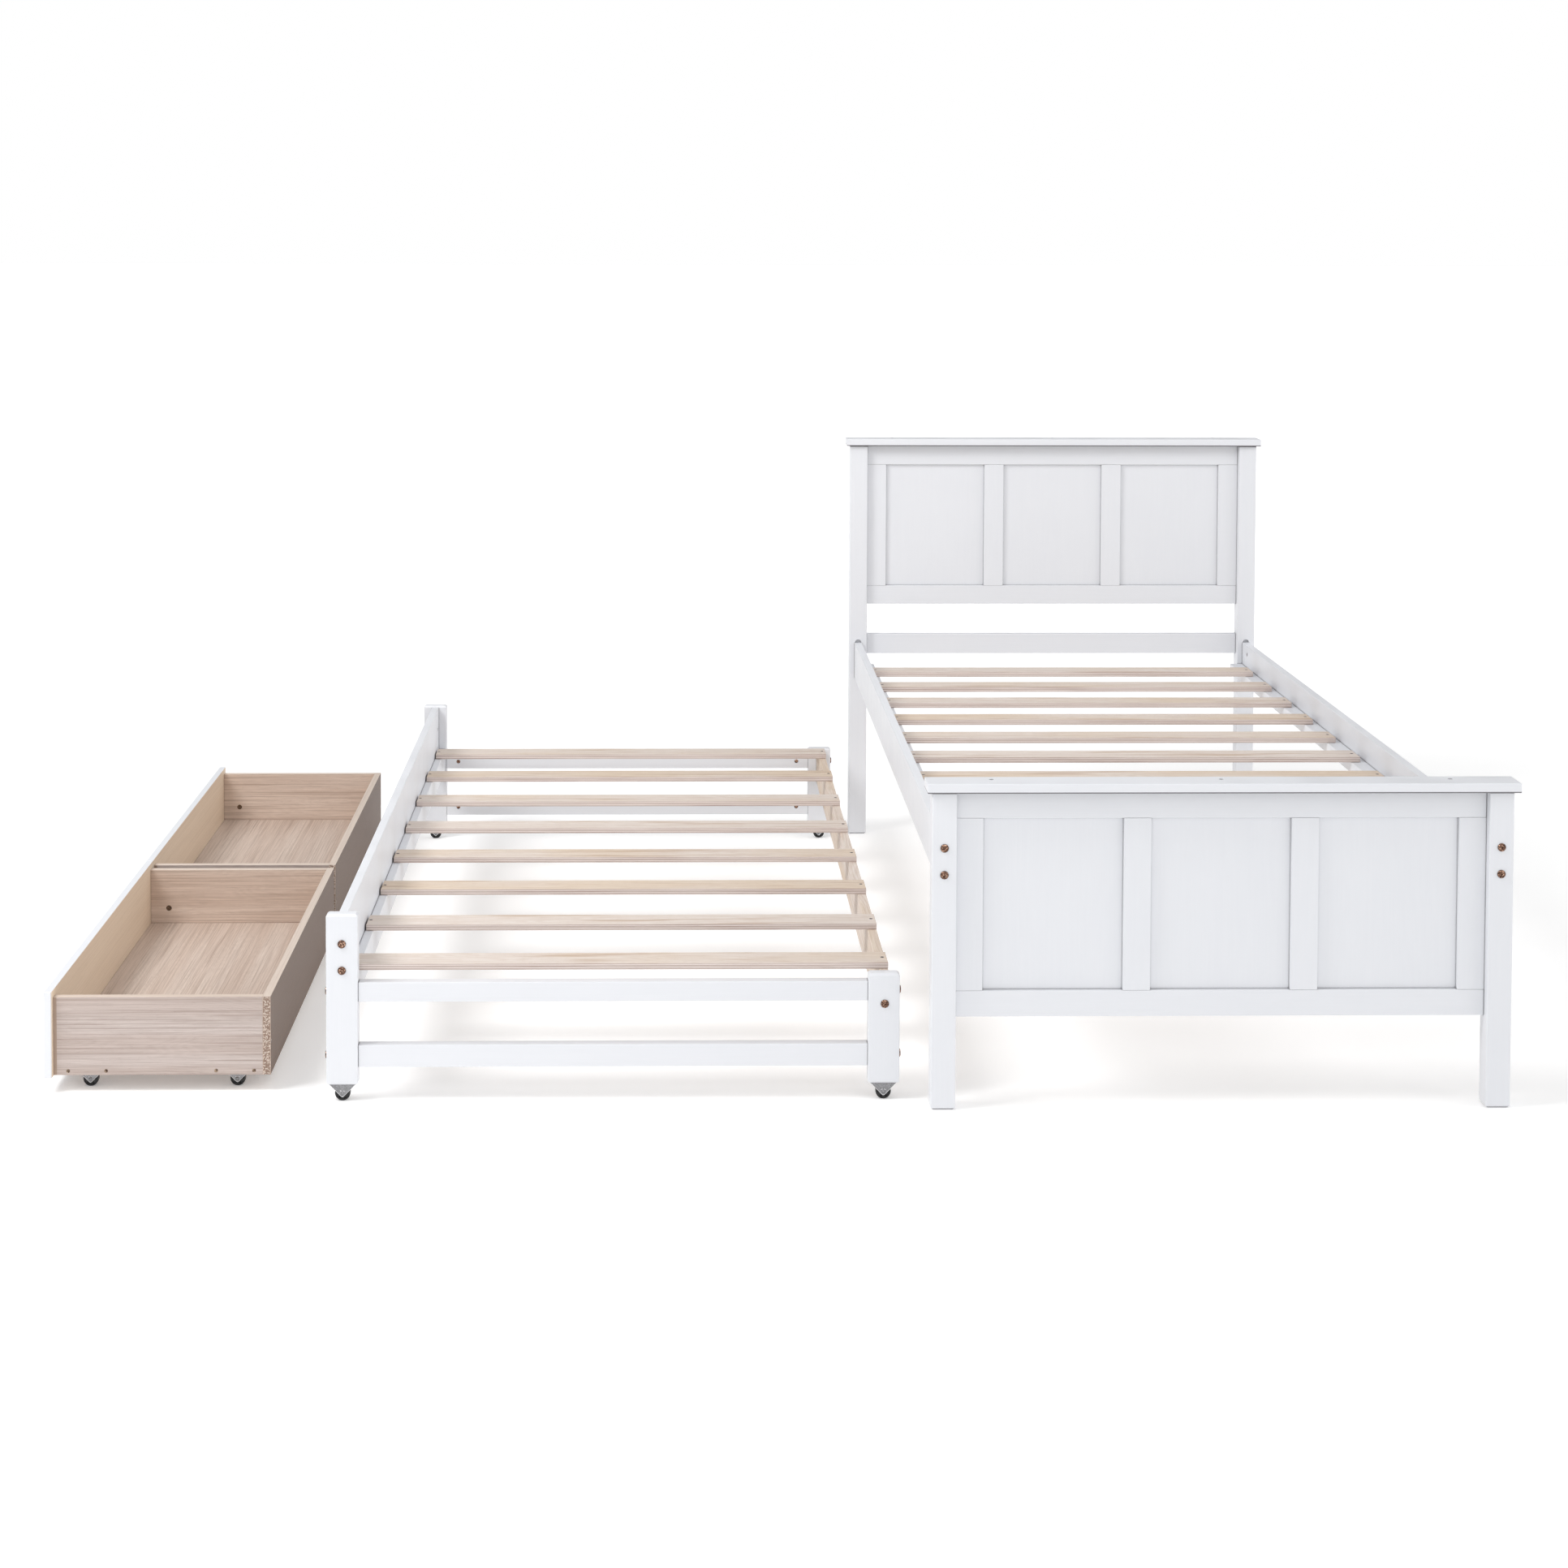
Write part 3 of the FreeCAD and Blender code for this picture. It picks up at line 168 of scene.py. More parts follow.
class HardwareSettings(PropertyGroup):
    """Bolts, screws, caster forks and wheels."""

    bronze: tint("Bronze", "Furniture bolts and barrel nuts", (0.17, 0.09, 0.06))
    # painted highlight: colour of the bright spots on the bolt heads
    copper: tint("Copper", "Where plating is rubbed through", (0.62, 0.40, 0.29))
    # also the colour of the painted shade round the screw heads
    patina: tint("Patina", "Darkest plating", (0.07, 0.042, 0.034))
    steel: tint("Steel", "Slat and cap screws", (0.11, 0.09, 0.075))
    brass: tint("Brass", "Drawer screws and fittings", (0.34, 0.26, 0.19))
    zinc: tint("Zinc", "Caster forks", (0.31, 0.31, 0.32))
    # painted highlight: brighter zinc that makes the fork rims and pips shine
    highlight_zinc: tint("Rubbed zinc", "Rims and pips of the forks", (0.72, 0.72, 0.73))
    nylon: tint("Nylon", "Caster wheels", (0.005, 0.005, 0.0055))
    wheel_segments: IntProperty(
        name="Wheel segments", description="Facets round a caster wheel", default=120,
        min=24, max=360,
    )
    wheel_ribs: IntProperty(
        name="Wheel ribs", description="Ribs in the hollow sides of a wheel", default=6,
        min=3, max=12,
    )


class StudioSettings(PropertyGroup):
    """Camera, lights and floor."""

    camera_place: FloatVectorProperty(
        name="Camera", description="Where the camera stands", subtype="TRANSLATION",
        unit="LENGTH", size=3, default=(-0.213, -5.4186, 1.6464),
    )
    camera_turn: FloatVectorProperty(
        name="Camera turn", description="Camera rotation about X, Y and Z", subtype="EULER",
        size=3, default=tuple(math.radians(angle) for angle in (87.805, -0.164, -1.021)),
    )
    lens: FloatProperty(
        name="Lens", description="Focal length on a 36 mm sensor, in millimetres",
        default=56.613, min=10, max=300,
    )
    shift: FloatVectorProperty(
        name="Lens shift", description="Share of the frame's width, across and up", size=2,
        default=(0.05, -0.31),
    )
    soft_box: FloatProperty(
        name="Soft box", description="Power of the soft box above the left side", default=112,
        min=0, max=1000, unit="POWER",
    )
    right_wall: light_setting("Right light", "Strength of the broad light from the right", 1.08)
    front_wall: light_setting("Front light", "Strength of the broad light from the foot", 0.34)
    fill: light_setting("Fill light", "Radiance of the studio's pale walls", 0.56)
    floor_glow: light_setting("Floor glow", "Light of the floor's own, far from the bed", 0.55)


class TrundleBedSettings(PropertyGroup):
    """All the settings of the trundle bed."""

    paint: PointerProperty(type=PaintSettings)
    timber: PointerProperty(type=TimberSettings)
    laminate: PointerProperty(type=LaminateSettings)
    hardware: PointerProperty(type=HardwareSettings)
    studio: PointerProperty(type=StudioSettings)


# --- Node trees ---
ORIGIN = (0.0, 0.0, 0.0)


def join(value, socket):
    """Link a socket to an input, or set the input to a number, a vector or an opaque colour."""
    if isinstance(value, bpy.types.NodeSocket):
        socket.id_data.links.new(value, socket)
    elif socket.type == "RGBA":
        socket.default_value = (*value, 1.0)
    else:
        socket.default_value = value


def tree_of(*values):
    """The node tree of the first socket among some values."""
    return next(value.id_data for value in values if isinstance(value, bpy.types.NodeSocket))


def add(tree, kind, settings=None, **sockets):
    """A new node; a socket's name is written with _ for each space."""
    node = tree.nodes.new("ShaderNode" + kind)
    for name, value in (settings or {}).items():
        setattr(node, name, value)
    for name, value in sockets.items():
        join(value, node.inputs[name.replace("_", " ")])
    return node


def worked(kind, operation, first, second):
    """The outputs of one operation on two inputs."""
    node = add(tree_of(first, second), kind, {"operation": operation})
    join(first, node.inputs[0])
    join(second, node.inputs[1])
    return node.outputs


def maths(operation, first, second=0.0):
    """The outcome of one operation on two numbers."""
    return worked("Math", operation, first, second)[0]


def times(first, second):
    """Two numbers multiplied."""
    return maths("MULTIPLY", first, second)


def apart(first, second):
    """How far two numbers are apart."""
    return maths("ABSOLUTE", maths("SUBTRACT", first, second))


def sum_of(*terms):
    """The sum of sockets, each times its own share."""
    total = 0.0
    for socket, share in terms:
        total = maths("ADD", total, times(socket, share))
    return total


def vector_maths(operation, first, second):
    """The outputs of one operation on two vectors."""
    return worked("VectorMath", operation, first, second)


def parts_of(vector):
    """The X, Y and Z of a vector."""
    return add(tree_of(vector), "SeparateXYZ", Vector=vector).outputs


def mapped(value, low, high, first=0.0, last=1.0):
    """The value's climb from low to high, eased and clamped, as first to last."""
    node = add(tree_of(value), "MapRange", {"interpolation_type": "SMOOTHSTEP"}, Value=value,
               From_Min=low, From_Max=high, To_Min=first, To_Max=last)
    return node.outputs[0]


def mixed(share, first, second, way="MIX"):
    """Two colours mixed by a share."""
    node = add(tree_of(share, first, second), "Mix", {"data_type": "RGBA", "blend_type": way})
    for value, index in ((share, 0), (first, 6), (second, 7)):
        join(value, node.inputs[index])
    return node.outputs[2]


def layered(colour, *layers):
    """A colour with others laid over it in turn, each by its own share."""
    for share, over in layers:
        colour = mixed(share, colour, over)
    return colour


def lying(vector, grain):
    """A vector turned so that a board's grain runs along X."""
    turn = GRAIN_TURNS[grain]
    return add(tree_of(vector), "Mapping", Vector=vector, Rotation=turn).outputs[0]


def noise(vector, scale, detail):
    """Smooth noise of a vector, about 0.5."""
    node = add(tree_of(vector), "TexNoise", Vector=vector, Scale=scale, Detail=detail)
    return node.outputs[0]


def stretched(vector, scale):
    """A vector with each of its parts scaled."""
    return add(tree_of(vector), "Mapping", Vector=vector, Scale=scale).outputs[0]


def drawn_out(vector, along, across, detail=3.0):
    """Noise drawn out along X: its waves in a metre along X, and across it."""
    return noise(stretched(vector, (along, across, across)), 1.0, detail)


def new_group(name, inputs, outputs):
    """A shader node group and its two ends: ORIGIN makes a vector socket, a number a float."""
    tree = bpy.data.node_groups.new(name, "ShaderNodeTree")
    for way, sockets in (("INPUT", inputs), ("OUTPUT", outputs)):
        for socket, value in sockets.items():
            kind = "NodeSocketVector" if value is ORIGIN else "NodeSocketFloat"
            made = tree.interface.new_socket(socket, in_out=way, socket_type=kind)
            made.default_value = value
    start = tree.nodes.new("NodeGroupInput").outputs
    end = tree.nodes.new("NodeGroupOutput").inputs
    return tree, start, end


def placed(tree, group, **sockets):
    """The outputs of a shared group placed in a tree."""
    return add(tree, "Group", {"node_tree": group()}, **sockets).outputs


def shared(build):
    """A group that is built once, and found by its function's name after that."""
    name = build.__name__.replace("_", " ").title()

    def find():
        return bpy.data.node_groups.get(name) or build(name)

    return find


@shared
def facing(name):
    """Which way a face looks: masks of faces across X, along Y and up or down."""
    tree, start, end = new_group(
        name, {"Normal": ORIGIN}, {"Across": 0.0, "Along": 0.0, "Level": 0.0})
    parts = parts_of(start["Normal"])
    for part, socket in zip(parts, end):
        size = maths("ABSOLUTE", part)
        join(mapped(size, 0.62, 0.80), socket)
    return tree


@shared
def board_number(name):
    """A random number and shift for each board of a row that repeats along Y."""
    tree, start, end = new_group(
        name, {"Vector": ORIGIN, "Start": 0.0, "Pitch": 0.1},
        {"Random": 0.0, "Shifted": ORIGIN})
    farthest_shift = 9.0
    along = parts_of(start["Vector"])["Y"]
    rows = maths("DIVIDE", maths("SUBTRACT", along, start["Start"]), start["Pitch"])
    count = maths("FLOOR", rows)
    dice = add(tree, "TexWhiteNoise", {"noise_dimensions": "1D"}, W=count).outputs
    shift = vector_maths("MULTIPLY", dice["Color"], (farthest_shift,) * 3)[0]
    join(dice["Value"], end["Random"])
    join(vector_maths("ADD", start["Vector"], shift)[0], end["Shifted"])
    return tree


@shared
def wood_grain(name):
    """Grain that runs along X: broad figure, fine streaks and short dark pores.

    The figure is the sine of the depth into the board, swayed by a slow noise."""
    tree, start, end = new_group(
        name, {"Vector": ORIGIN, "Figure Lines": 60.0, "Waviness": 1.0},
        {"Figure": 0.0, "Streaks": 0.0, "Pores": 0.0, "Broad": 0.0})
    vector = start["Vector"]
    slow = drawn_out(vector, 1.6, 11)
    sway = times(maths("SUBTRACT", slow, 0.5), start["Waviness"])
    parts = parts_of(vector)
    depth = sum_of((parts["Y"], 1.0), (parts["Z"], 0.7))
    rings = sum_of((depth, start["Figure Lines"]), (sway, 14.0))
    wave = maths("SINE", times(rings, math.tau))
    join(maths("ADD", times(wave, 0.5), 0.5), end["Figure"])
    join(mapped(drawn_out(vector, 7, 420), 0.30, 0.70), end["Streaks"])
    specks = drawn_out(vector, 60, 1500, detail=1.0)
    join(mapped(specks, 0.62, 0.72), end["Pores"])
    join(slow, end["Broad"])
    return tree


@shared
def knots(name):
    """A few small knots, drawn out along X: the knot and the ring round it."""
    tree, start, end = new_group(
        name, {"Vector": ORIGIN, "Share": 0.1}, {"Knot": 0.0, "Halo": 0.0})
    flat = stretched(start["Vector"], (4.5, 17, 17))
    cells = add(tree, "TexVoronoi", Vector=flat, Scale=1.0).outputs
    dice = add(tree, "SeparateColor", Color=cells["Color"]).outputs["Red"]
    chosen = maths("LESS_THAN", dice, start["Share"])
    for outer, inner, socket in ((0.10, 0.045, "Knot"), (0.30, 0.06, "Halo")):
        near = mapped(cells["Distance"], inner, outer, 1.0, 0.0)
        join(times(near, chosen), end[socket])
    return tree


@shared
def ply_layers(name):
    """Plies on the edge of a board: which ply, and the dark glue line between two."""
    tree, start, end = new_group(
        name, {"Vector": ORIGIN, "Bottom": 0.0, "Thickness": 0.012, "Plies": 7.0},
        {"Dark Ply": 0.0, "Glue": 0.0})
    height = parts_of(start["Vector"])["Z"]
    rise = maths("DIVIDE", maths("SUBTRACT", height, start["Bottom"]), start["Thickness"])
    wander = noise(stretched(start["Vector"], (5, 5, 60)), 1.0, 2.0)
    level = times(start["Plies"], sum_of((rise, 1.0), (wander, 0.10)))
    fold = maths("PINGPONG", level, 1.0)
    join(mapped(fold, 0.42, 0.58), end["Dark Ply"])
    join(mapped(apart(fold, 0.5), 0.05, 0.14, 1.0, 0.0), end["Glue"])
    return tree


@shared
def chipboard(name):
    """Pressed wood chips: a random tone for each chip and the dark gaps between them."""
    tree, start, end = new_group(
        name, {"Vector": ORIGIN, "Chips": 390.0}, {"Tone": 0.0, "Gap": 0.0})
    raggedness = 2.2 * MM
    blur = add(tree, "TexNoise", Vector=start["Vector"], Scale=700.0, Detail=2.0)
    small = vector_maths("MULTIPLY", blur.outputs["Color"], (raggedness,) * 3)[0]
    bent = vector_maths("ADD", start["Vector"], small)[0]
    cells = add(tree, "TexVoronoi", Vector=bent, Scale=start["Chips"]).outputs
    tone = add(tree, "SeparateColor", Color=cells["Color"]).outputs["Green"]
    join(tone, end["Tone"])
    join(mapped(cells["Distance"], 0.42, 0.62), end["Gap"])
    return tree


@shared
def soft_mottle(name):
    """Cloudy variation and fine grit of a plated, moulded or painted surface."""
    tree, start, end = new_group(
        name, {"Vector": ORIGIN, "Cloud": 60.0, "Grit": 900.0}, {"Clouds": 0.0, "Fine": 0.0})
    clouds = noise(start["Vector"], start["Cloud"], 3.0)
    join(mapped(clouds, 0.3, 0.7), end["Clouds"])
    join(noise(start["Vector"], start["Grit"], 1.0), end["Fine"])
    return tree


@shared
def crease(name):
    """Painted shade where two boards meet: dark in the corner and gone a short reach away from it."""
    tree, start, end = new_group(name, {"Reach": 0.006, "Depth": 1.0}, {"Crease": 0.0})
    # painted shade: ambient occlusion over a short reach darkens the corners
    open_air = add(tree, "AmbientOcclusion", {"samples": 6}, Distance=start["Reach"])
    corner = mapped(open_air.outputs["AO"], 0.50, 0.86, 1.0, 0.0)
    join(times(corner, start["Depth"]), end["Crease"])
    return tree


@shared
def painted_cap_shadow(name):
    """A thin band of painted shadow at the underside of the footboard's cap and of the headboard's."""
    tree, start, end = new_group(
        name, {"Vector": ORIGIN, "Foot Cap": 0.5, "Head Cap": 1.0, "Width": 0.002},
        {"Gap": 0.0})
    place = parts_of(start["Vector"])
    at_head = maths("GREATER_THAN", place["Y"], 0.0)
    rise = maths("SUBTRACT", start["Head Cap"], start["Foot Cap"])
    level = maths("ADD", start["Foot Cap"], times(at_head, rise))
    # painted shadow: a band within the given width of the cap's underside
    depth = apart(level, place["Z"])
    join(maths("LESS_THAN", depth, start["Width"]), end["Gap"])
    return tree


# --- Materials ---
def new_material(name):
    """An unfinished material: itself, its tree and the coordinates."""
    material = bpy.data.materials.new(name)
    material.use_nodes = True
    tree = material.node_tree
    return material, tree, add(tree, "TexCoord").outputs


def finished(material, colour, roughness, relief, depth, metallic=0.0):
    """The material with its colour, roughness and metal, and relief of a depth in metres."""
    tree = material.node_tree
    shader = tree.nodes["Principled BSDF"]
    join(colour, shader.inputs["Base Color"])
    join(roughness, shader.inputs["Roughness"])
    shader.inputs["Metallic"].default_value = metallic
    raised = add(tree, "Bump", Distance=depth, Height=relief)
    join(raised.outputs[0], shader.inputs["Normal"])
    return material


def paint_coat(tree, vector, paint):
    """White satin paint over grain that runs along the vector's X: colour and relief."""
    grain = placed(tree, wood_grain, Vector=vector, Figure_Lines=38.0, Waviness=0.8)
    mottle = placed(tree, soft_mottle, Vector=vector, Cloud=5.0, Grit=420.0)
    sunk = sum_of((grain["Streaks"], 0.30), (grain["Figure"], 0.15), (mottle["Clouds"], 0.35))
    relief = sum_of((grain["Streaks"], -0.55), (grain["Pores"], -0.30), (mottle["Fine"], 0.35))
    return mixed(sunk, paint.colour, paint.shade), relief


def paint_material(grain, paint):
    """White paint on boards whose grain runs one way, with painted shade in their corners and under the
    caps.
    """
    material, tree, space = new_material(f"white_paint_{grain}")
    vector = lying(space["Object"], grain)
    coat, relief = paint_coat(tree, vector, paint)
    # painted shade: darker in the corners where boards meet, and in a thin band under each cap
    corner = placed(tree, crease, Reach=4.5 * MM, Depth=paint.joint)["Crease"]
    caps = [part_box(name)[0].z for name in ("footboard_cap", "headboard_cap")]
    gap = placed(tree, painted_cap_shadow, Vector=space["Object"], Foot_Cap=caps[0], Head_Cap=caps[1],
                 Width=paint.painted_cap_shadow)["Gap"]
    colour = layered(coat, (corner, paint.painted_shade_colour), (gap, paint.painted_shade_colour))
    gloss = noise(vector, 14.0, 2.0)
    roughness = mapped(gloss, 0.3, 0.7, paint.roughness - 0.05, paint.roughness + 0.07)
    return finished(material, colour, roughness, relief, paint.relief)


def slat_material(name, box, count, wood):
    """Bare plywood slats: a veneer of its own on each, plies on the edges, a few knots."""
    low, high = box
    pitch = (high.y - low.y - SLAT_WIDTH) / (count - 1)
    gap = pitch - SLAT_WIDTH
    material, tree, space = new_material(name)
    number = placed(tree, board_number, Vector=space["Object"], Start=low.y - gap / 2, Pitch=pitch)
    slat = number["Shifted"]
    grain = placed(tree, wood_grain, Vector=slat, Figure_Lines=70.0, Waviness=1.6)
    spots = placed(tree, knots, Vector=slat, Share=0.14)
    warmth = sum_of((number["Random"], 0.42), (drawn_out(slat, 2.6, 9), 1.0))
    lines = sum_of((grain["Streaks"], 0.24), (grain["Figure"], 0.14), (grain["Pores"], 0.34))
    brown = drawn_out(slat, 3.4, 60)
    face = layered(
        wood.pale,
        (mapped(warmth, 0.62, 1.02), wood.tan),
        (lines, wood.streak),
        (mapped(brown, 0.56, 0.70, 0.0, 0.62), wood.streak),
        (times(spots["Halo"], 0.55), wood.streak),
        (spots["Knot"], wood.knot),
    )
    plies = placed(tree, ply_layers, Vector=space["Object"], Bottom=low.z,
                   Thickness=high.z - low.z, Plies=5.0)
    worn = times(plies["Dark Ply"], mapped(brown, 0.45, 0.62))
    edge = layered(
        wood.edge_pale,
        (times(plies["Dark Ply"], 0.42), wood.edge_dark),
        (times(plies["Glue"], 0.85), wood.edge_dark),
        (times(worn, 0.60), wood.edge_dark),
        (times(grain["Streaks"], 0.20), wood.edge_dark),
    )
    masks = placed(tree, facing, Normal=space["Normal"])
    roughness = mapped(grain["Streaks"], 0.0, 1.0, wood.roughness - 0.06, wood.roughness + 0.10)
    relief = sum_of((grain["Streaks"], -0.5), (grain["Pores"], -0.6), (plies["Glue"], -0.4))
    return finished(material, mixed(masks["Level"], edge, face), roughness, relief, 0.2 * MM)


def raw_rail_material(wood):
    """The trundle's unpainted back rail: solid pale timber with its grain along Y."""
    material, tree, space = new_material("raw_rail")
    vector = lying(space["Object"], "lengthwise")
    grain = placed(tree, wood_grain, Vector=vector, Figure_Lines=46.0, Waviness=1.2)
    spots = placed(tree, knots, Vector=vector, Share=0.10)
    lines = sum_of((grain["Streaks"], 0.28), (grain["Figure"], 0.20), (grain["Pores"], 0.25))
    colour = layered(
        wood.pale,
        (mapped(grain["Broad"], 0.35, 0.70), wood.tan),
        (lines, wood.streak),
        (times(spots["Halo"], 0.5), wood.streak),
        (spots["Knot"], wood.knot),
    )
    roughness = mapped(grain["Streaks"], 0.0, 1.0, wood.roughness - 0.05, wood.roughness + 0.10)
    relief = sum_of((grain["Streaks"], -0.6), (grain["Pores"], -0.5))
    return finished(material, colour, roughness, relief, 0.2 * MM)


def oak_print(tree, vector, oak):
    """The oak print along the vector's X: its colour, and the relief of its pores."""
    grain = placed(tree, wood_grain, Vector=vector, Figure_Lines=150.0, Waviness=2.6)
    bands = drawn_out(vector, 0.9, 26, detail=2.0)
    lines = drawn_out(vector, 3.4, 400)
    bold = drawn_out(vector, 1.7, 170)
    fine = sum_of((grain["Streaks"], 0.26), (grain["Figure"], 0.07))
    colour = layered(
        oak.light,
        (mapped(bands, 0.35, 0.68), oak.middle),
        (fine, oak.dark),
        (mapped(lines, 0.50, 0.64, 0.0, 0.34), oak.dark),
        (mapped(bold, 0.60, 0.66, 0.0, 0.34), oak.dark),
        (times(grain["Pores"], 0.25), oak.dark),
    )
    return colour, sum_of((grain["Pores"], -0.8), (grain["Streaks"], -0.3))


def laminated(material, colour, relief, oak):
    """Finish a laminated board, with painted shade where it meets another board."""
    tree = material.node_tree
    # painted shade: the print darkened in the corners where boards meet
    corner = placed(tree, crease, Reach=5 * MM, Depth=0.5)["Crease"]
    colour = mixed(corner, colour, oak.dark)
    return finished(material, colour, oak.roughness, relief, 0.12 * MM)


def drawer_sides_material(name, box, oak):
    """The side boards: oak inside, a greyer print outside, and an edge band on top.

    Outside, a narrow strip next to the drawer's front is as dark as the front's skin."""
    low, high = box
    strip_width, face_depth = 6.5 * MM, 0.5 * MM
    material, tree, space = new_material(name)
    inside, relief = oak_print(tree, space["Object"], oak)
    place = parts_of(space["Object"])
    strip = maths("LESS_THAN", place["X"], low.x + strip_width)
    greyer = mixed(1.0, inside, oak.outer_side, "MULTIPLY")
    outside = mixed(times(strip, 0.9), greyer, oak.skin)
    off_middle = apart(place["Y"], (low.y + high.y) / 2)
    outermost = maths("GREATER_THAN", off_middle, (high.y - low.y) / 2 - face_depth)
    masks = placed(tree, facing, Normal=space["Normal"])
    band = mixed(0.5, inside, oak.banding)
    colour = layered(inside, (outermost, outside), (masks["Level"], band))
    return laminated(material, colour, relief, oak)


def laminate_material(name, grain, oak):
    """The duller laminate of a drawer's bottom and caster blocks, printed one way."""
    material, tree, space = new_material(name)
    colour, relief = oak_print(tree, lying(space["Object"], grain), oak)
    colour = mixed(1.0, colour, oak.bottom, "MULTIPLY")
    return laminated(material, colour, relief, oak)


def drawer_back_material(name, box, oak):
    """The back board: oak inside, darker outside, and bare chipboard at its ends."""
    low, high = box
    middle, half = (low.x + high.x) / 2, (high.x - low.x) / 2
    skin = 0.9 * MM
    material, tree, space = new_material(name)
    inside, relief = oak_print(tree, lying(space["Object"], "lengthwise"), oak)
    darker = mixed(1.0, inside, oak.outer, "MULTIPLY")
    outside = mixed(0.45, darker, oak.outer)
    band = mixed(0.65, inside, oak.banding)
    masks = placed(tree, facing, Normal=space["Normal"])
    across = parts_of(space["Object"])["X"]
    behind = times(maths("GREATER_THAN", across, middle), masks["Across"])

    chips = placed(tree, chipboard, Vector=space["Object"])
    off_middle = apart(across, middle)
    core = layered(
        oak.banding,
        (chips["Tone"], oak.middle),
        (mapped(chips["Tone"], 0.70, 0.80), oak.dark),
        (chips["Gap"], oak.dark),
        (mapped(off_middle, half - skin, half - skin * 0.8), oak.middle),
    )
    colour = layered(inside, (behind, outside), (masks["Level"], band), (masks["Along"], core))
    rough_end = times(chips["Gap"], masks["Along"])
    relief = sum_of((relief, 0.5), (rough_end, -2.0))
    return finished(material, colour, oak.roughness, relief, 0.2 * MM)


def drawer_front_material(paint, laminate, box):
    """A drawer's front board: white paint outside and on its edges, oak print inside."""
    inner_face = box[1].x - 0.4 * MM
    inner_skin = box[1].x - 2.0 * MM
    material, tree, space = new_material("drawer_front")
    vector = lying(space["Object"], "lengthwise")
    outside, paint_relief = paint_coat(tree, vector, paint)
    oak, print_relief = oak_print(tree, vector, laminate)
    inside = mixed(0.66, oak, laminate.inner)
    across = parts_of(space["Object"])["X"]
    behind = maths("GREATER_THAN", across, inner_face)
    masks = placed(tree, facing, Normal=space["Normal"])
    skin = times(maths("GREATER_THAN", across, inner_skin), masks["Along"])
    colour = layered(outside, (behind, inside), (times(skin, 0.35), laminate.skin))
    roughness = mapped(behind, 0.0, 1.0, paint.roughness, laminate.roughness)
    relief = sum_of((paint_relief, 0.7), (print_relief, 0.3))
    return finished(material, colour, roughness, relief, paint.relief)


def mottled_material(name, tone, cloud, gloss, grit=2600.0, depth=0.02 * MM, metallic=1.0):
    """A plated or moulded finish with clouds and fine grit in it.

    tone works the colour out from the tree, the coordinates and the mottle, and gloss is the
    roughness of clear spots and of cloudy ones."""
    material, tree, space = new_material(name)
    mottle = placed(tree, soft_mottle, Vector=space["Object"], Cloud=cloud, Grit=grit)
    roughness = mapped(mottle["Clouds"], 0.0, 1.0, *gloss)
    colour = tone(tree, space, mottle)
    return finished(material, colour, roughness, mottle["Fine"], depth, metallic)


def zinc_material(name, zinc, roughness, dark_share):
    """Zinc plate with darker clouds in its plating."""
    dark = [part * (1 - dark_share) for part in zinc]

    def tone(tree, space, mottle):
        clouds = sum_of((mottle["Clouds"], 0.7), (mottle["Fine"], 0.3))
        return mixed(clouds, zinc, dark)

    return mottled_material(name, tone, 520.0, (roughness - 0.06, roughness + 0.12),
                            depth=0.03 * MM)


def bolt_material(settings):
    """Antique bronze: dark plating with small bright spots of painted highlight."""

    def tone(tree, space, mottle):
        # painted highlight: small bright spots over the dark plating
        highlight_speckle = drawn_out(space["Object"], 420, 420, detail=2.0)
        patina = mixed(mottle["Clouds"], settings.bronze, settings.patina)
        return mixed(mapped(highlight_speckle, 0.53, 0.66), patina, settings.copper)

    return mottled_material("antique_bronze", tone, 260.0, (0.12, 0.24))


def screw_material(name, plating, settings):
    """Dull plated screws, with painted shade where a head meets the rim of its hole."""

    def tone(tree, space, mottle):
        # painted shade: the patina colour laid into the corner round each head
        rim = placed(tree, crease, Reach=2.2 * MM, Depth=0.9)["Crease"]
        return layered(plating, (mottle["Clouds"], settings.patina), (rim, settings.patina))

    return mottled_material(name, tone, 220.0, (0.20, 0.34))


def nylon_material(settings):
    """Black moulded nylon: glossy and faintly cloudy."""
    worn = [part * 2.6 for part in settings.nylon]

    def tone(tree, space, mottle):
        return mixed(mottle["Clouds"], settings.nylon, worn)

    return mottled_material("caster_nylon", tone, 240.0, (0.20, 0.36), grit=1800.0, metallic=0.0)


def floor_material(settings):
    """A plain pale floor with the faintest cloud in it, and light of its own far away."""
    pale, paler, black, white = ((shade,) * 3 for shade in (0.93, 0.96, 0.0, 1.0))
    near, far = 1.6, 6.0
    material, tree, space = new_material("studio_floor")
    shader = tree.nodes["Principled BSDF"]
    clouds = noise(space["Object"], 0.8, 2.0)
    join(mixed(clouds, pale, paler), shader.inputs["Base Color"])
    shader.inputs["Roughness"].default_value = 0.9
    shader.inputs["Specular IOR Level"].default_value = 0.1
    away = vector_maths("DISTANCE", space["Object"], ORIGIN)["Value"]
    share = mapped(away, near, far, 0.32, 1.0)
    join(mixed(share, black, white), shader.inputs["Emission Color"])
    shader.inputs["Emission Strength"].default_value = settings.floor_glow
    return material


def finish_node(name, material):
    """Give a CAD node its material; its mesh and its place stay as they are."""
    slots = NODES[name].data.materials
    slots.clear()
    slots.append(material)


# --- Surfaces ---
def smooth_piece(name, points, faces, material):
    """A new smooth piece in the scene, from its points and faces."""
    mesh = bpy.data.meshes.new(name)
    mesh.from_pydata(points.tolist(), [], faces)
    mesh.shade_smooth()
    mesh.materials.append(material)
    mesh.update()
    piece = bpy.data.objects.new(name, mesh)
    bpy.context.scene.collection.objects.link(piece)
    return piece


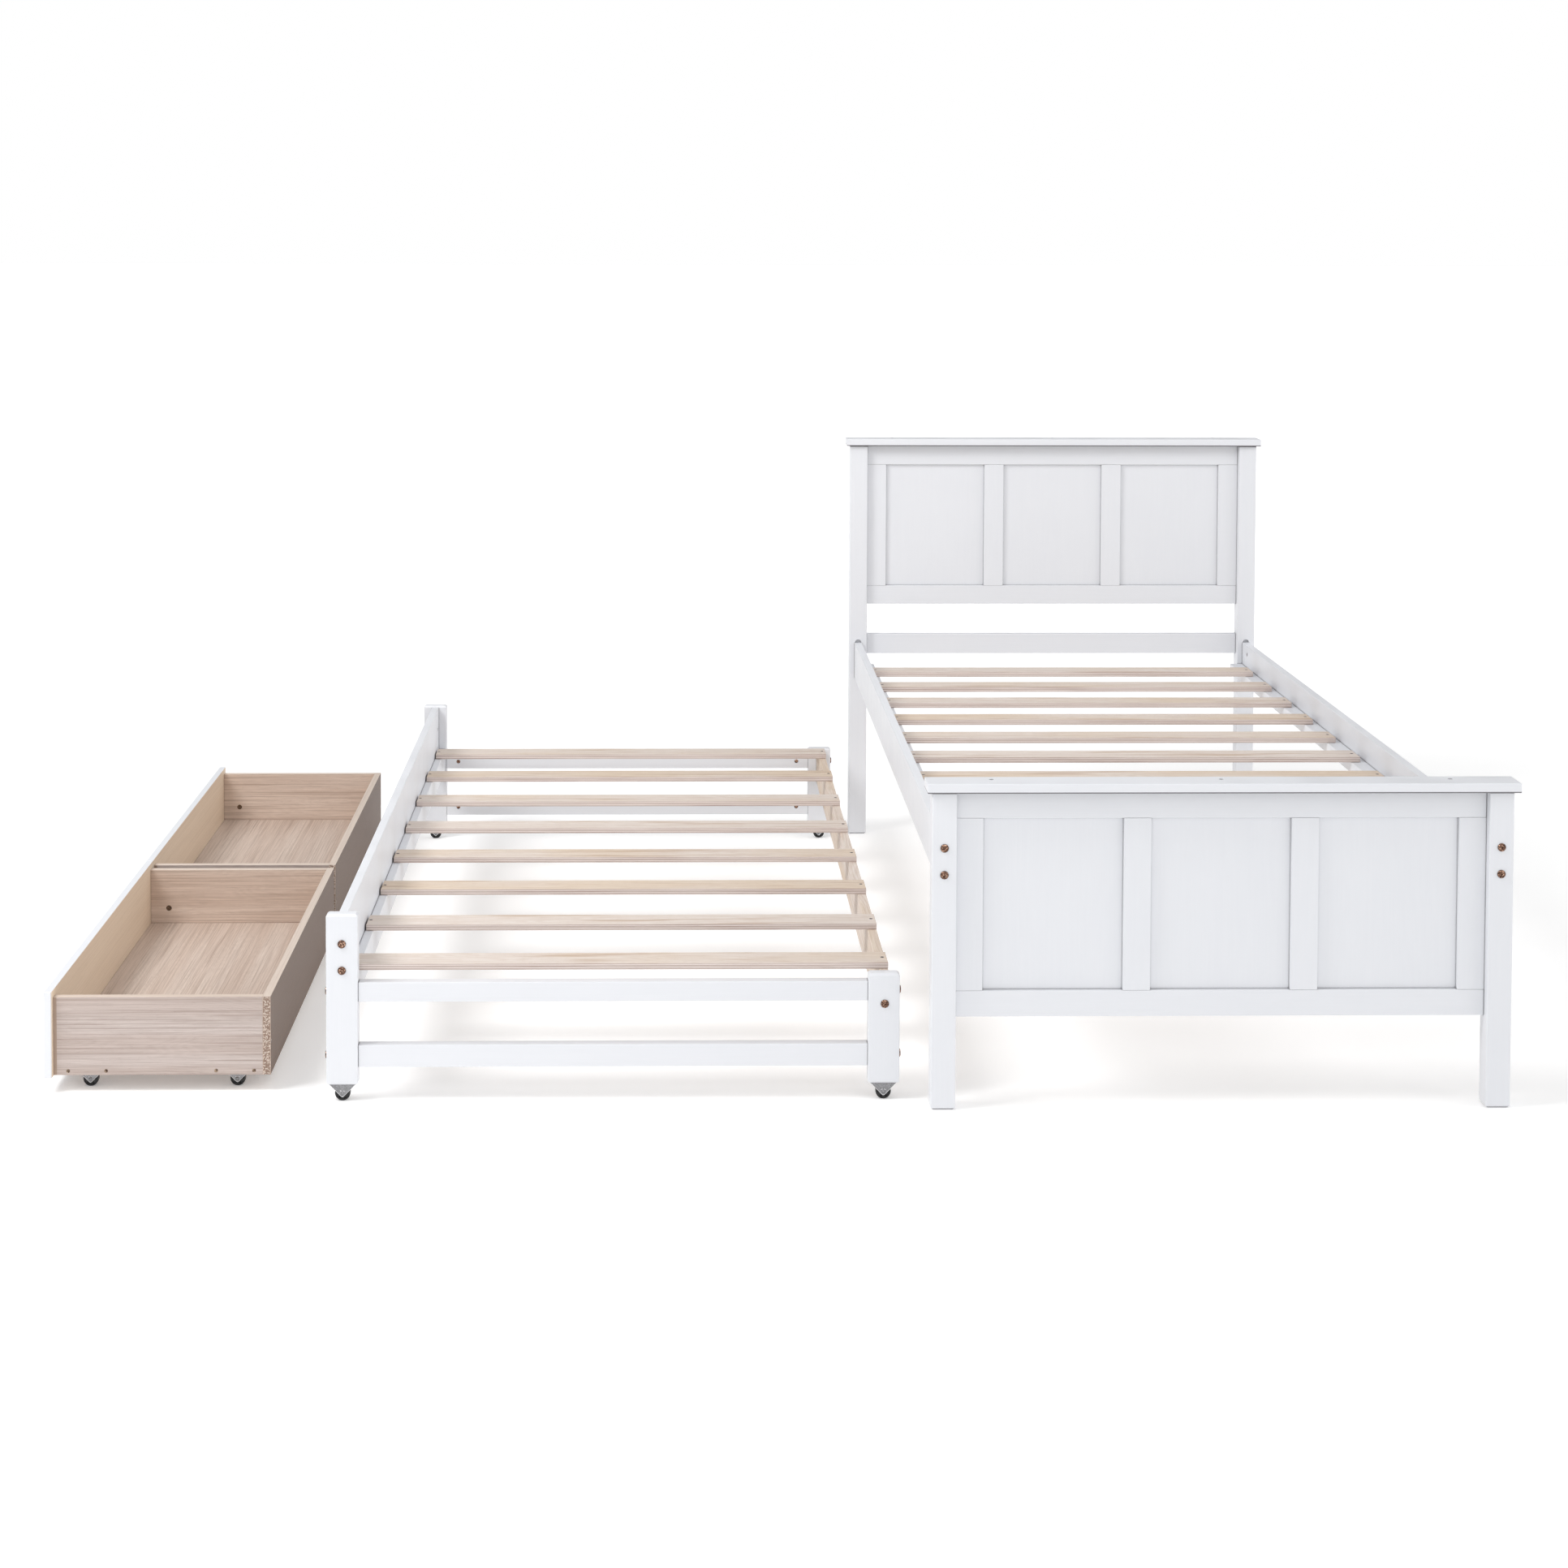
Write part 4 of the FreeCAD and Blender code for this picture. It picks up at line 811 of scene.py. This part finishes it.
def closed_grid(name, points, material):
    """A piece on a grid of points that closes on itself both ways, its faces outwards.

    points has the shape (rounds, stations, 3). Each face joins four neighbours, and the sign
    of the enclosed volume, the sum of the faces' triple products, tells if it is inside out."""
    rounds, stations = points.shape[:2]
    row, column = np.meshgrid(np.arange(rounds), np.arange(stations), indexing="ij")
    next_row, next_column = (row + 1) % rounds, (column + 1) % stations
    corners = ((row, column), (next_row, column), (next_row, next_column), (row, next_column))
    faces = np.stack([r * stations + c for r, c in corners], axis=-1).reshape(-1, 4)
    flat = points.reshape(-1, 3)
    a, b, c, d = (flat[faces[:, k]] for k in range(4))
    volume = (np.cross(a, b) * c).sum() + (np.cross(a, c) * d).sum()
    if volume < 0:
        faces = faces[:, ::-1]
    return smooth_piece(name, flat, faces.tolist(), material)


def rounded_corner(centre, radius, start, end, count=6):
    """Points of an arc: centre plus radius times cosine and sine of angles in degrees."""
    angle = np.radians(np.linspace(start, end, count))
    return np.stack([centre[0] + radius * np.cos(angle), centre[1] + radius * np.sin(angle)], 1)


def wheel_outline(radius, half, bore):
    """Half of a wheel's section as distance from the axle and along it, and where ribs rise.

    From the bore out along one side: the hub's face, down into the hollow, along its web, up to
    the rim, round the shoulder, and to the middle of a tread that is slightly crowned."""
    hub, rim, hollow = 4.5 * MM, 3.2 * MM, 2.0 * MM
    ease, shoulder = 0.45 * MM, 1.9 * MM
    tread_fall, crown_fall = 0.12 * MM, 0.03 * MM
    web = half - hollow
    inner_rim, tread = radius - rim, radius - tread_fall
    web_run = np.linspace(hub + 3 * ease, inner_rim - 3 * ease, 8)
    runs = (
        np.array([[bore, 0], [bore, half * 0.5]]),
        rounded_corner((bore + ease, half - ease), ease, 180, 90),
        rounded_corner((hub - ease, half - ease), ease, 90, 0),
        rounded_corner((hub + ease, web + ease), ease, 180, 270),
        np.stack([web_run, np.full(len(web_run), web)], 1),
        rounded_corner((inner_rim - ease, web + ease), ease, 270, 360),
        rounded_corner((inner_rim + ease, half - ease), ease, 180, 90),
        rounded_corner((tread - shoulder, half - shoulder), shoulder, 90, 0, 10),
        np.array([[radius - crown_fall, half * 0.4], [radius, 0]]),
    )
    outline = np.concatenate(runs)
    ribbed = np.zeros(len(outline))
    first = sum(len(run) for run in runs[:4])
    ribbed[first:first + len(web_run)] = 1
    return outline, ribbed


def turned_wheel(name, box, bore, segments, ribs, material):
    """A wheel about an axle along Y: its whole outline turned by an angle round the axle.

    A point is the axle's centre plus the outline's radius times cosine and sine of the angle.
    In the hollow the web stands up by the cube of the cosine of the rib count times the angle."""
    rib_height = 1.5 * MM
    low, high = box
    centre = (np.array(low) + np.array(high)) / 2
    radius, half = (high.x - low.x) / 2, (high.y - low.y) / 2
    outline, ribbed = wheel_outline(radius, half, bore)
    mirror = outline[1:-1][::-1] * (1, -1)
    outline = np.concatenate([outline, mirror])
    side = np.sign(outline[:, 1])
    ribbed = np.concatenate([ribbed, ribbed[1:-1][::-1]])
    angle = np.linspace(0, math.tau, segments, endpoint=False)[:, None]
    rib = np.clip(np.cos(angle * ribs), 0, 1) ** 3 * rib_height
    across = outline[None, :, 0]
    points = np.empty((segments, len(outline), 3))
    points[..., 0] = centre[0] + across * np.cos(angle)
    points[..., 1] = centre[1] + outline[None, :, 1] + rib * (ribbed * side)[None, :]
    points[..., 2] = centre[2] + across * np.sin(angle)
    return closed_grid(name, points, material)


def bar_along(path, face, thickness, sides=8):
    """Rings of a round bar that follows a path in an upright plane across the bed.

    Each ring is the path's point plus its thickness times the cosine of an angle along the
    path's normal and the sine of it along Y; the normal is the path's direction turned by 90
    degrees. path holds X and Z, and thickness one radius for each of its points."""
    along = np.gradient(path, axis=0)
    along /= np.linalg.norm(along, axis=1, keepdims=True)
    normal = np.stack([-along[:, 1], along[:, 0]], axis=1)
    angle = np.linspace(0, math.tau, sides, endpoint=False)
    out = thickness[:, None] * np.cos(angle)[None, :]
    rings = np.empty((len(path), sides, 3))
    rings[..., 0] = path[:, None, 0] + normal[:, None, 0] * out
    rings[..., 1] = face + thickness[:, None] * np.sin(angle)[None, :]
    rings[..., 2] = path[:, None, 1] + normal[:, None, 1] * out
    return rings


def closed_bars(name, bars, material):
    """One piece of several bars, each a run of rings closed by a flat face at either end."""
    points, faces, first = [], [], 0
    for rings in bars:
        count, sides = rings.shape[:2]
        row, column = np.meshgrid(np.arange(count - 1), np.arange(sides), indexing="ij")
        beside = (column + 1) % sides
        corners = ((row, column), (row, beside), (row + 1, beside), (row + 1, column))
        skin = np.stack([first + r * sides + c for r, c in corners], axis=-1).reshape(-1, 4)
        last = first + (count - 1) * sides
        start, end = (list(range(ring, ring + sides)) for ring in (first, last))
        spin = np.cross(rings[0, 1] - rings[0, 0], rings[0, 2] - rings[0, 0])
        outward = spin @ (rings[0].mean(axis=0) - rings[1].mean(axis=0)) > 0
        skin = skin[:, ::-1] if outward else skin
        faces += skin.tolist()
        faces += [start if outward else start[::-1], end[::-1] if outward else end]
        points.append(rings.reshape(-1, 3))
        first += count * sides
    return smooth_piece(name, np.concatenate(points), faces, material)


def cheek_rim(centre):
    """The edge of a fork's cheek from one top corner round its tip to the other.

    Straight lines touch a circle of the tip's radius; the touching point stands at the angle
    from the circle's centre to the corner, less the arc cosine of radius over distance."""
    radius, half, top = 3.4 * MM, 23.0 * MM, 16.0 * MM
    below_axle = 2.6 * MM
    tip = np.array([centre[0], centre[1] - below_axle])
    corner = np.array([half, top + below_axle])
    turn = math.atan2(corner[1], corner[0]) - math.acos(radius / np.hypot(*corner))
    angle = np.linspace(math.pi - turn, math.tau + turn, 11)
    arc = tip + radius * np.stack([np.cos(angle), np.sin(angle)], axis=1)
    share = np.linspace(0, 1, 5, endpoint=False)[:, None]
    left = (tip + corner * (-1, 1)) * (1 - share) + arc[0] * share
    right = (tip + corner) * (1 - share) + arc[-1] * share
    return np.concatenate([left, arc, right[::-1]])


def fork_pressings(name, wheels, material):
    """The rolled rims and raised pips of a unit's caster forks, one closed mesh.

    Each cheek has a rim bar of even thickness and two arcs over the axle whose thickness is
    the square root of one minus their squared share of the way from middle to end."""
    reach, rim_radius = 8.7 * MM, 0.55 * MM
    pip_distance, pip_radius = 5.2 * MM, 0.8 * MM
    pip_lean, pip_sweep = math.radians(34), math.radians(20)
    sweep = np.linspace(-1, 1, 7)
    swell = pip_radius * np.sqrt(1.04 - sweep ** 2)
    bars = []
    for low, high in wheels:
        centre = np.array([(low.x + high.x) / 2, (low.z + high.z) / 2])
        middle = (low.y + high.y) / 2
        rim = cheek_rim(centre)
        for face in (middle - reach, middle + reach):
            bars.append(bar_along(rim, face, np.full(len(rim), rim_radius)))
            for lean in (-pip_lean, pip_lean):
                angle = math.pi / 2 + lean + sweep * pip_sweep
                pip = centre + pip_distance * np.stack([np.cos(angle), np.sin(angle)], 1)
                bars.append(bar_along(pip, face, swell))
    return closed_bars(name, bars, material)


# --- Operators ---
class TRUNDLE_OT_paint_boards(Operator):
    """Paint the posts, rails, panels and caps white"""

    bl_idname = "trundle.paint_boards"
    bl_label = "Paint the boards"

    def execute(self, context):
        settings = context.scene.trundle_bed.paint
        for grain, boards in PAINTED_BOARDS.items():
            material = paint_material(grain, settings)
            for name in boards:
                finish_node(name, material)
        return {"FINISHED"}


class TRUNDLE_OT_finish_slats(Operator):
    """Give the slats their plywood and the trundle's back rail its bare timber"""

    bl_idname = "trundle.finish_slats"
    bl_label = "Finish the slats"

    def execute(self, context):
        settings = context.scene.trundle_bed.timber
        for name, count in SLAT_ROWS.items():
            finish_node(name, slat_material(f"{name}_plywood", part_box(name), count, settings))
        finish_node("trundle_back_rail", raw_rail_material(settings))
        return {"FINISHED"}


class TRUNDLE_OT_finish_drawers(Operator):
    """Laminate the drawer boxes and paint the drawer fronts"""

    bl_idname = "trundle.finish_drawers"
    bl_label = "Finish the drawers"

    def execute(self, context):
        settings = context.scene.trundle_bed
        laminate = settings.laminate
        blocks = laminate_material("oak_laminate_blocks", "across", laminate)
        bottom = laminate_material("oak_laminate_bottom", "lengthwise", laminate)
        front = drawer_front_material(settings.paint, laminate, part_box("drawer_foot_front"))
        back = drawer_back_material("oak_laminate_back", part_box("drawer_foot_back"), laminate)
        for drawer in DRAWERS:
            boards = f"{drawer}_sides"
            sides = drawer_sides_material(f"oak_laminate_{boards}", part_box(boards), laminate)
            finish_node(boards, sides)
            finish_node(f"{drawer}_caster_blocks", blocks)
            finish_node(f"{drawer}_bottom", bottom)
            finish_node(f"{drawer}_front", front)
            finish_node(f"{drawer}_back", back)
        return {"FINISHED"}


class TRUNDLE_OT_finish_hardware(Operator):
    """Plate the bolts, nuts, screws, fittings and caster forks"""

    bl_idname = "trundle.finish_hardware"
    bl_label = "Finish the hardware"

    def execute(self, context):
        settings = context.scene.trundle_bed.hardware
        bronze = bolt_material(settings)
        brass = screw_material("dull_brass", settings.brass, settings)
        steel = screw_material("dark_steel", settings.steel, settings)
        zinc = zinc_material("zinc_plate", settings.zinc, roughness=0.34, dark_share=0.42)
        for name in ("bed_bolts", "bed_barrel_nuts", "trundle_bolts", "trundle_barrel_nuts"):
            finish_node(name, bronze)
        for name in ("bed_screws", "trundle_screws"):
            finish_node(name, steel)
        for drawer in DRAWERS:
            finish_node(f"{drawer}_fasteners", brass)
        for unit in ROLLING_UNITS:
            finish_node(f"{unit}_caster_forks", zinc)
        return {"FINISHED"}


class TRUNDLE_OT_turn_wheels(Operator):
    """Turn the caster wheels with their crowned treads and ribbed hollow sides"""

    bl_idname = "trundle.turn_wheels"
    bl_label = "Turn the wheels"

    def execute(self, context):
        settings = context.scene.trundle_bed.hardware
        nylon = nylon_material(settings)
        bore = 2.05 * MM
        for unit in ROLLING_UNITS:
            for number in range(1, WHEELS_PER_UNIT + 1):
                node = f"{unit}_wheel_{number}"
                wheel = turned_wheel(f"{node}_moulding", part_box(node), bore,
                                     settings.wheel_segments, settings.wheel_ribs, nylon)
                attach(wheel, node)
                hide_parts(node)
        return {"FINISHED"}


class TRUNDLE_OT_press_forks(Operator):
    """Add the rolled rims and raised pips of the caster forks"""

    bl_idname = "trundle.press_forks"
    bl_label = "Press the forks"

    def execute(self, context):
        settings = context.scene.trundle_bed.hardware
        # painted highlight: the rims and pips get a brighter, glossier zinc than the forks
        bright = zinc_material("highlight_zinc", settings.highlight_zinc, roughness=0.24, dark_share=0.15)
        for unit in ROLLING_UNITS:
            wheels = [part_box(f"{unit}_wheel_{n}") for n in range(1, WHEELS_PER_UNIT + 1)]
            pressings = fork_pressings(f"{unit}_fork_pressings", wheels, bright)
            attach(pressings, unit)
        return {"FINISHED"}


class TRUNDLE_OT_set_studio(Operator):
    """Set the floor, the lights, the pale surroundings and the camera"""

    bl_idname = "trundle.set_studio"
    bl_label = "Set the studio"

    def execute(self, context):
        scene = context.scene
        settings = scene.trundle_bed.studio
        self.lay_floor(scene, settings)
        self.hang_lights(scene, settings)
        self.stand_camera(scene, settings)
        scene.view_settings.view_transform = "Standard"
        return {"FINISHED"}

    def lay_floor(self, scene, settings):
        """A wide flat floor at the height that the bed stands on."""
        reach = 60.0
        corners = [(-reach, -reach, 0), (reach, -reach, 0), (reach, reach, 0), (-reach, reach, 0)]
        mesh = bpy.data.meshes.new("studio_floor")
        mesh.from_pydata(corners, [], [(0, 1, 2, 3)])
        mesh.materials.append(floor_material(settings))
        floor = bpy.data.objects.new("studio_floor", mesh)
        scene.collection.objects.link(floor)

    def hang_lights(self, scene, settings):
        """A soft box above the left, two broad wall lights and the pale surroundings."""
        box = self.hang(scene, "soft_box", "AREA", settings.soft_box, (-2.7, -1.4, 3.3))
        box.data.size = 1.6
        box.location = (-3.0, -1.6, 3.6)
        box.visible_camera = False
        walls = (
            ("right_wall", settings.right_wall, (1.0, -0.2, 0.5)),
            ("front_wall", settings.front_wall, (-0.05, -1.0, 0.45)),
        )
        for name, strength, direction in walls:
            wall = self.hang(scene, name, "SUN", strength, direction)
            wall.data.angle = math.radians(70)
        self.paint_walls(scene, settings)

    def hang(self, scene, name, kind, strength, direction):
        """A lamp whose light comes from a direction."""
        lamp = bpy.data.lights.new(name, kind)
        lamp.energy = strength
        light = bpy.data.objects.new(name, lamp)
        light.rotation_euler = Vector(direction).to_track_quat("Z", "Y").to_euler()
        scene.collection.objects.link(light)
        return light

    def paint_walls(self, scene, settings):
        """Even pale walls, with a bright ceiling and a dim waist where they are reflected."""
        world = bpy.data.worlds.new("studio")
        world.use_nodes = True
        tree = world.node_tree
        backdrop = tree.nodes["Background"]
        window_direction = (-0.05, -0.97, 0.22)
        path = add(tree, "LightPath").outputs
        ray = add(tree, "TexCoord").outputs["Generated"]
        height = parts_of(ray)["Z"]
        ceiling = mapped(height, 0.42, 0.62, 0.14, 1.7)
        towards = vector_maths("DOT_PRODUCT", ray, window_direction)["Value"]
        window = mapped(towards, 0.955, 0.985, 0.0, 2.6)
        bright = maths("ADD", ceiling, window)
        mirrored = path["Is Glossy Ray"]
        unmirrored = maths("SUBTRACT", 1.0, mirrored)
        walls = sum_of((unmirrored, settings.fill), (mirrored, bright))
        strength = maths("MAXIMUM", path["Is Camera Ray"], walls)
        join(strength, backdrop.inputs["Strength"])
        backdrop.inputs["Color"].default_value = (1, 1, 1, 1)
        scene.world = world

    def stand_camera(self, scene, settings):
        """The camera looks along the bed from its foot, at about the height of a standing eye."""
        data = bpy.data.cameras.new("camera")
        data.lens = settings.lens
        data.shift_x, data.shift_y = settings.shift
        camera = bpy.data.objects.new("camera", data)
        camera.location = settings.camera_place
        camera.rotation_euler = settings.camera_turn
        scene.collection.objects.link(camera)
        scene.camera = camera


OPERATORS = (
    TRUNDLE_OT_paint_boards, TRUNDLE_OT_finish_slats, TRUNDLE_OT_finish_drawers,
    TRUNDLE_OT_finish_hardware, TRUNDLE_OT_turn_wheels, TRUNDLE_OT_press_forks,
    TRUNDLE_OT_set_studio,
)


class TRUNDLE_PT_sidebar(Panel):
    """The settings and steps of the trundle bed"""

    bl_label = "Trundle Bed"
    bl_idname = "TRUNDLE_PT_sidebar"
    bl_space_type = "VIEW_3D"
    bl_region_type = "UI"
    bl_category = "Trundle Bed"

    def draw(self, context):
        settings = context.scene.trundle_bed
        for part in (settings.paint, settings.timber, settings.laminate, settings.hardware,
                     settings.studio):
            box = self.layout.box()
            for name in part.bl_rna.properties.keys():
                if name not in ("rna_type", "name"):
                    box.prop(part, name)
        for operator in OPERATORS:
            self.layout.operator(operator.bl_idname)


CLASSES = (
    PaintSettings, TimberSettings, LaminateSettings, HardwareSettings, StudioSettings,
    TrundleBedSettings, *OPERATORS, TRUNDLE_PT_sidebar,
)


def register():
    """Add the classes and the settings to Blender."""
    for made in CLASSES:
        bpy.utils.register_class(made)
    bpy.types.Scene.trundle_bed = PointerProperty(type=TrundleBedSettings)


def unregister():
    """Take the settings and the classes out again."""
    del bpy.types.Scene.trundle_bed
    for made in reversed(CLASSES):
        bpy.utils.unregister_class(made)


def main():
    """Register everything and carry out each step in order."""
    register()
    bpy.ops.trundle.paint_boards()
    bpy.ops.trundle.finish_slats()
    bpy.ops.trundle.finish_drawers()
    bpy.ops.trundle.finish_hardware()
    bpy.ops.trundle.turn_wheels()
    bpy.ops.trundle.press_forks()
    bpy.ops.trundle.set_studio()


if __name__ == "__main__":
    main()
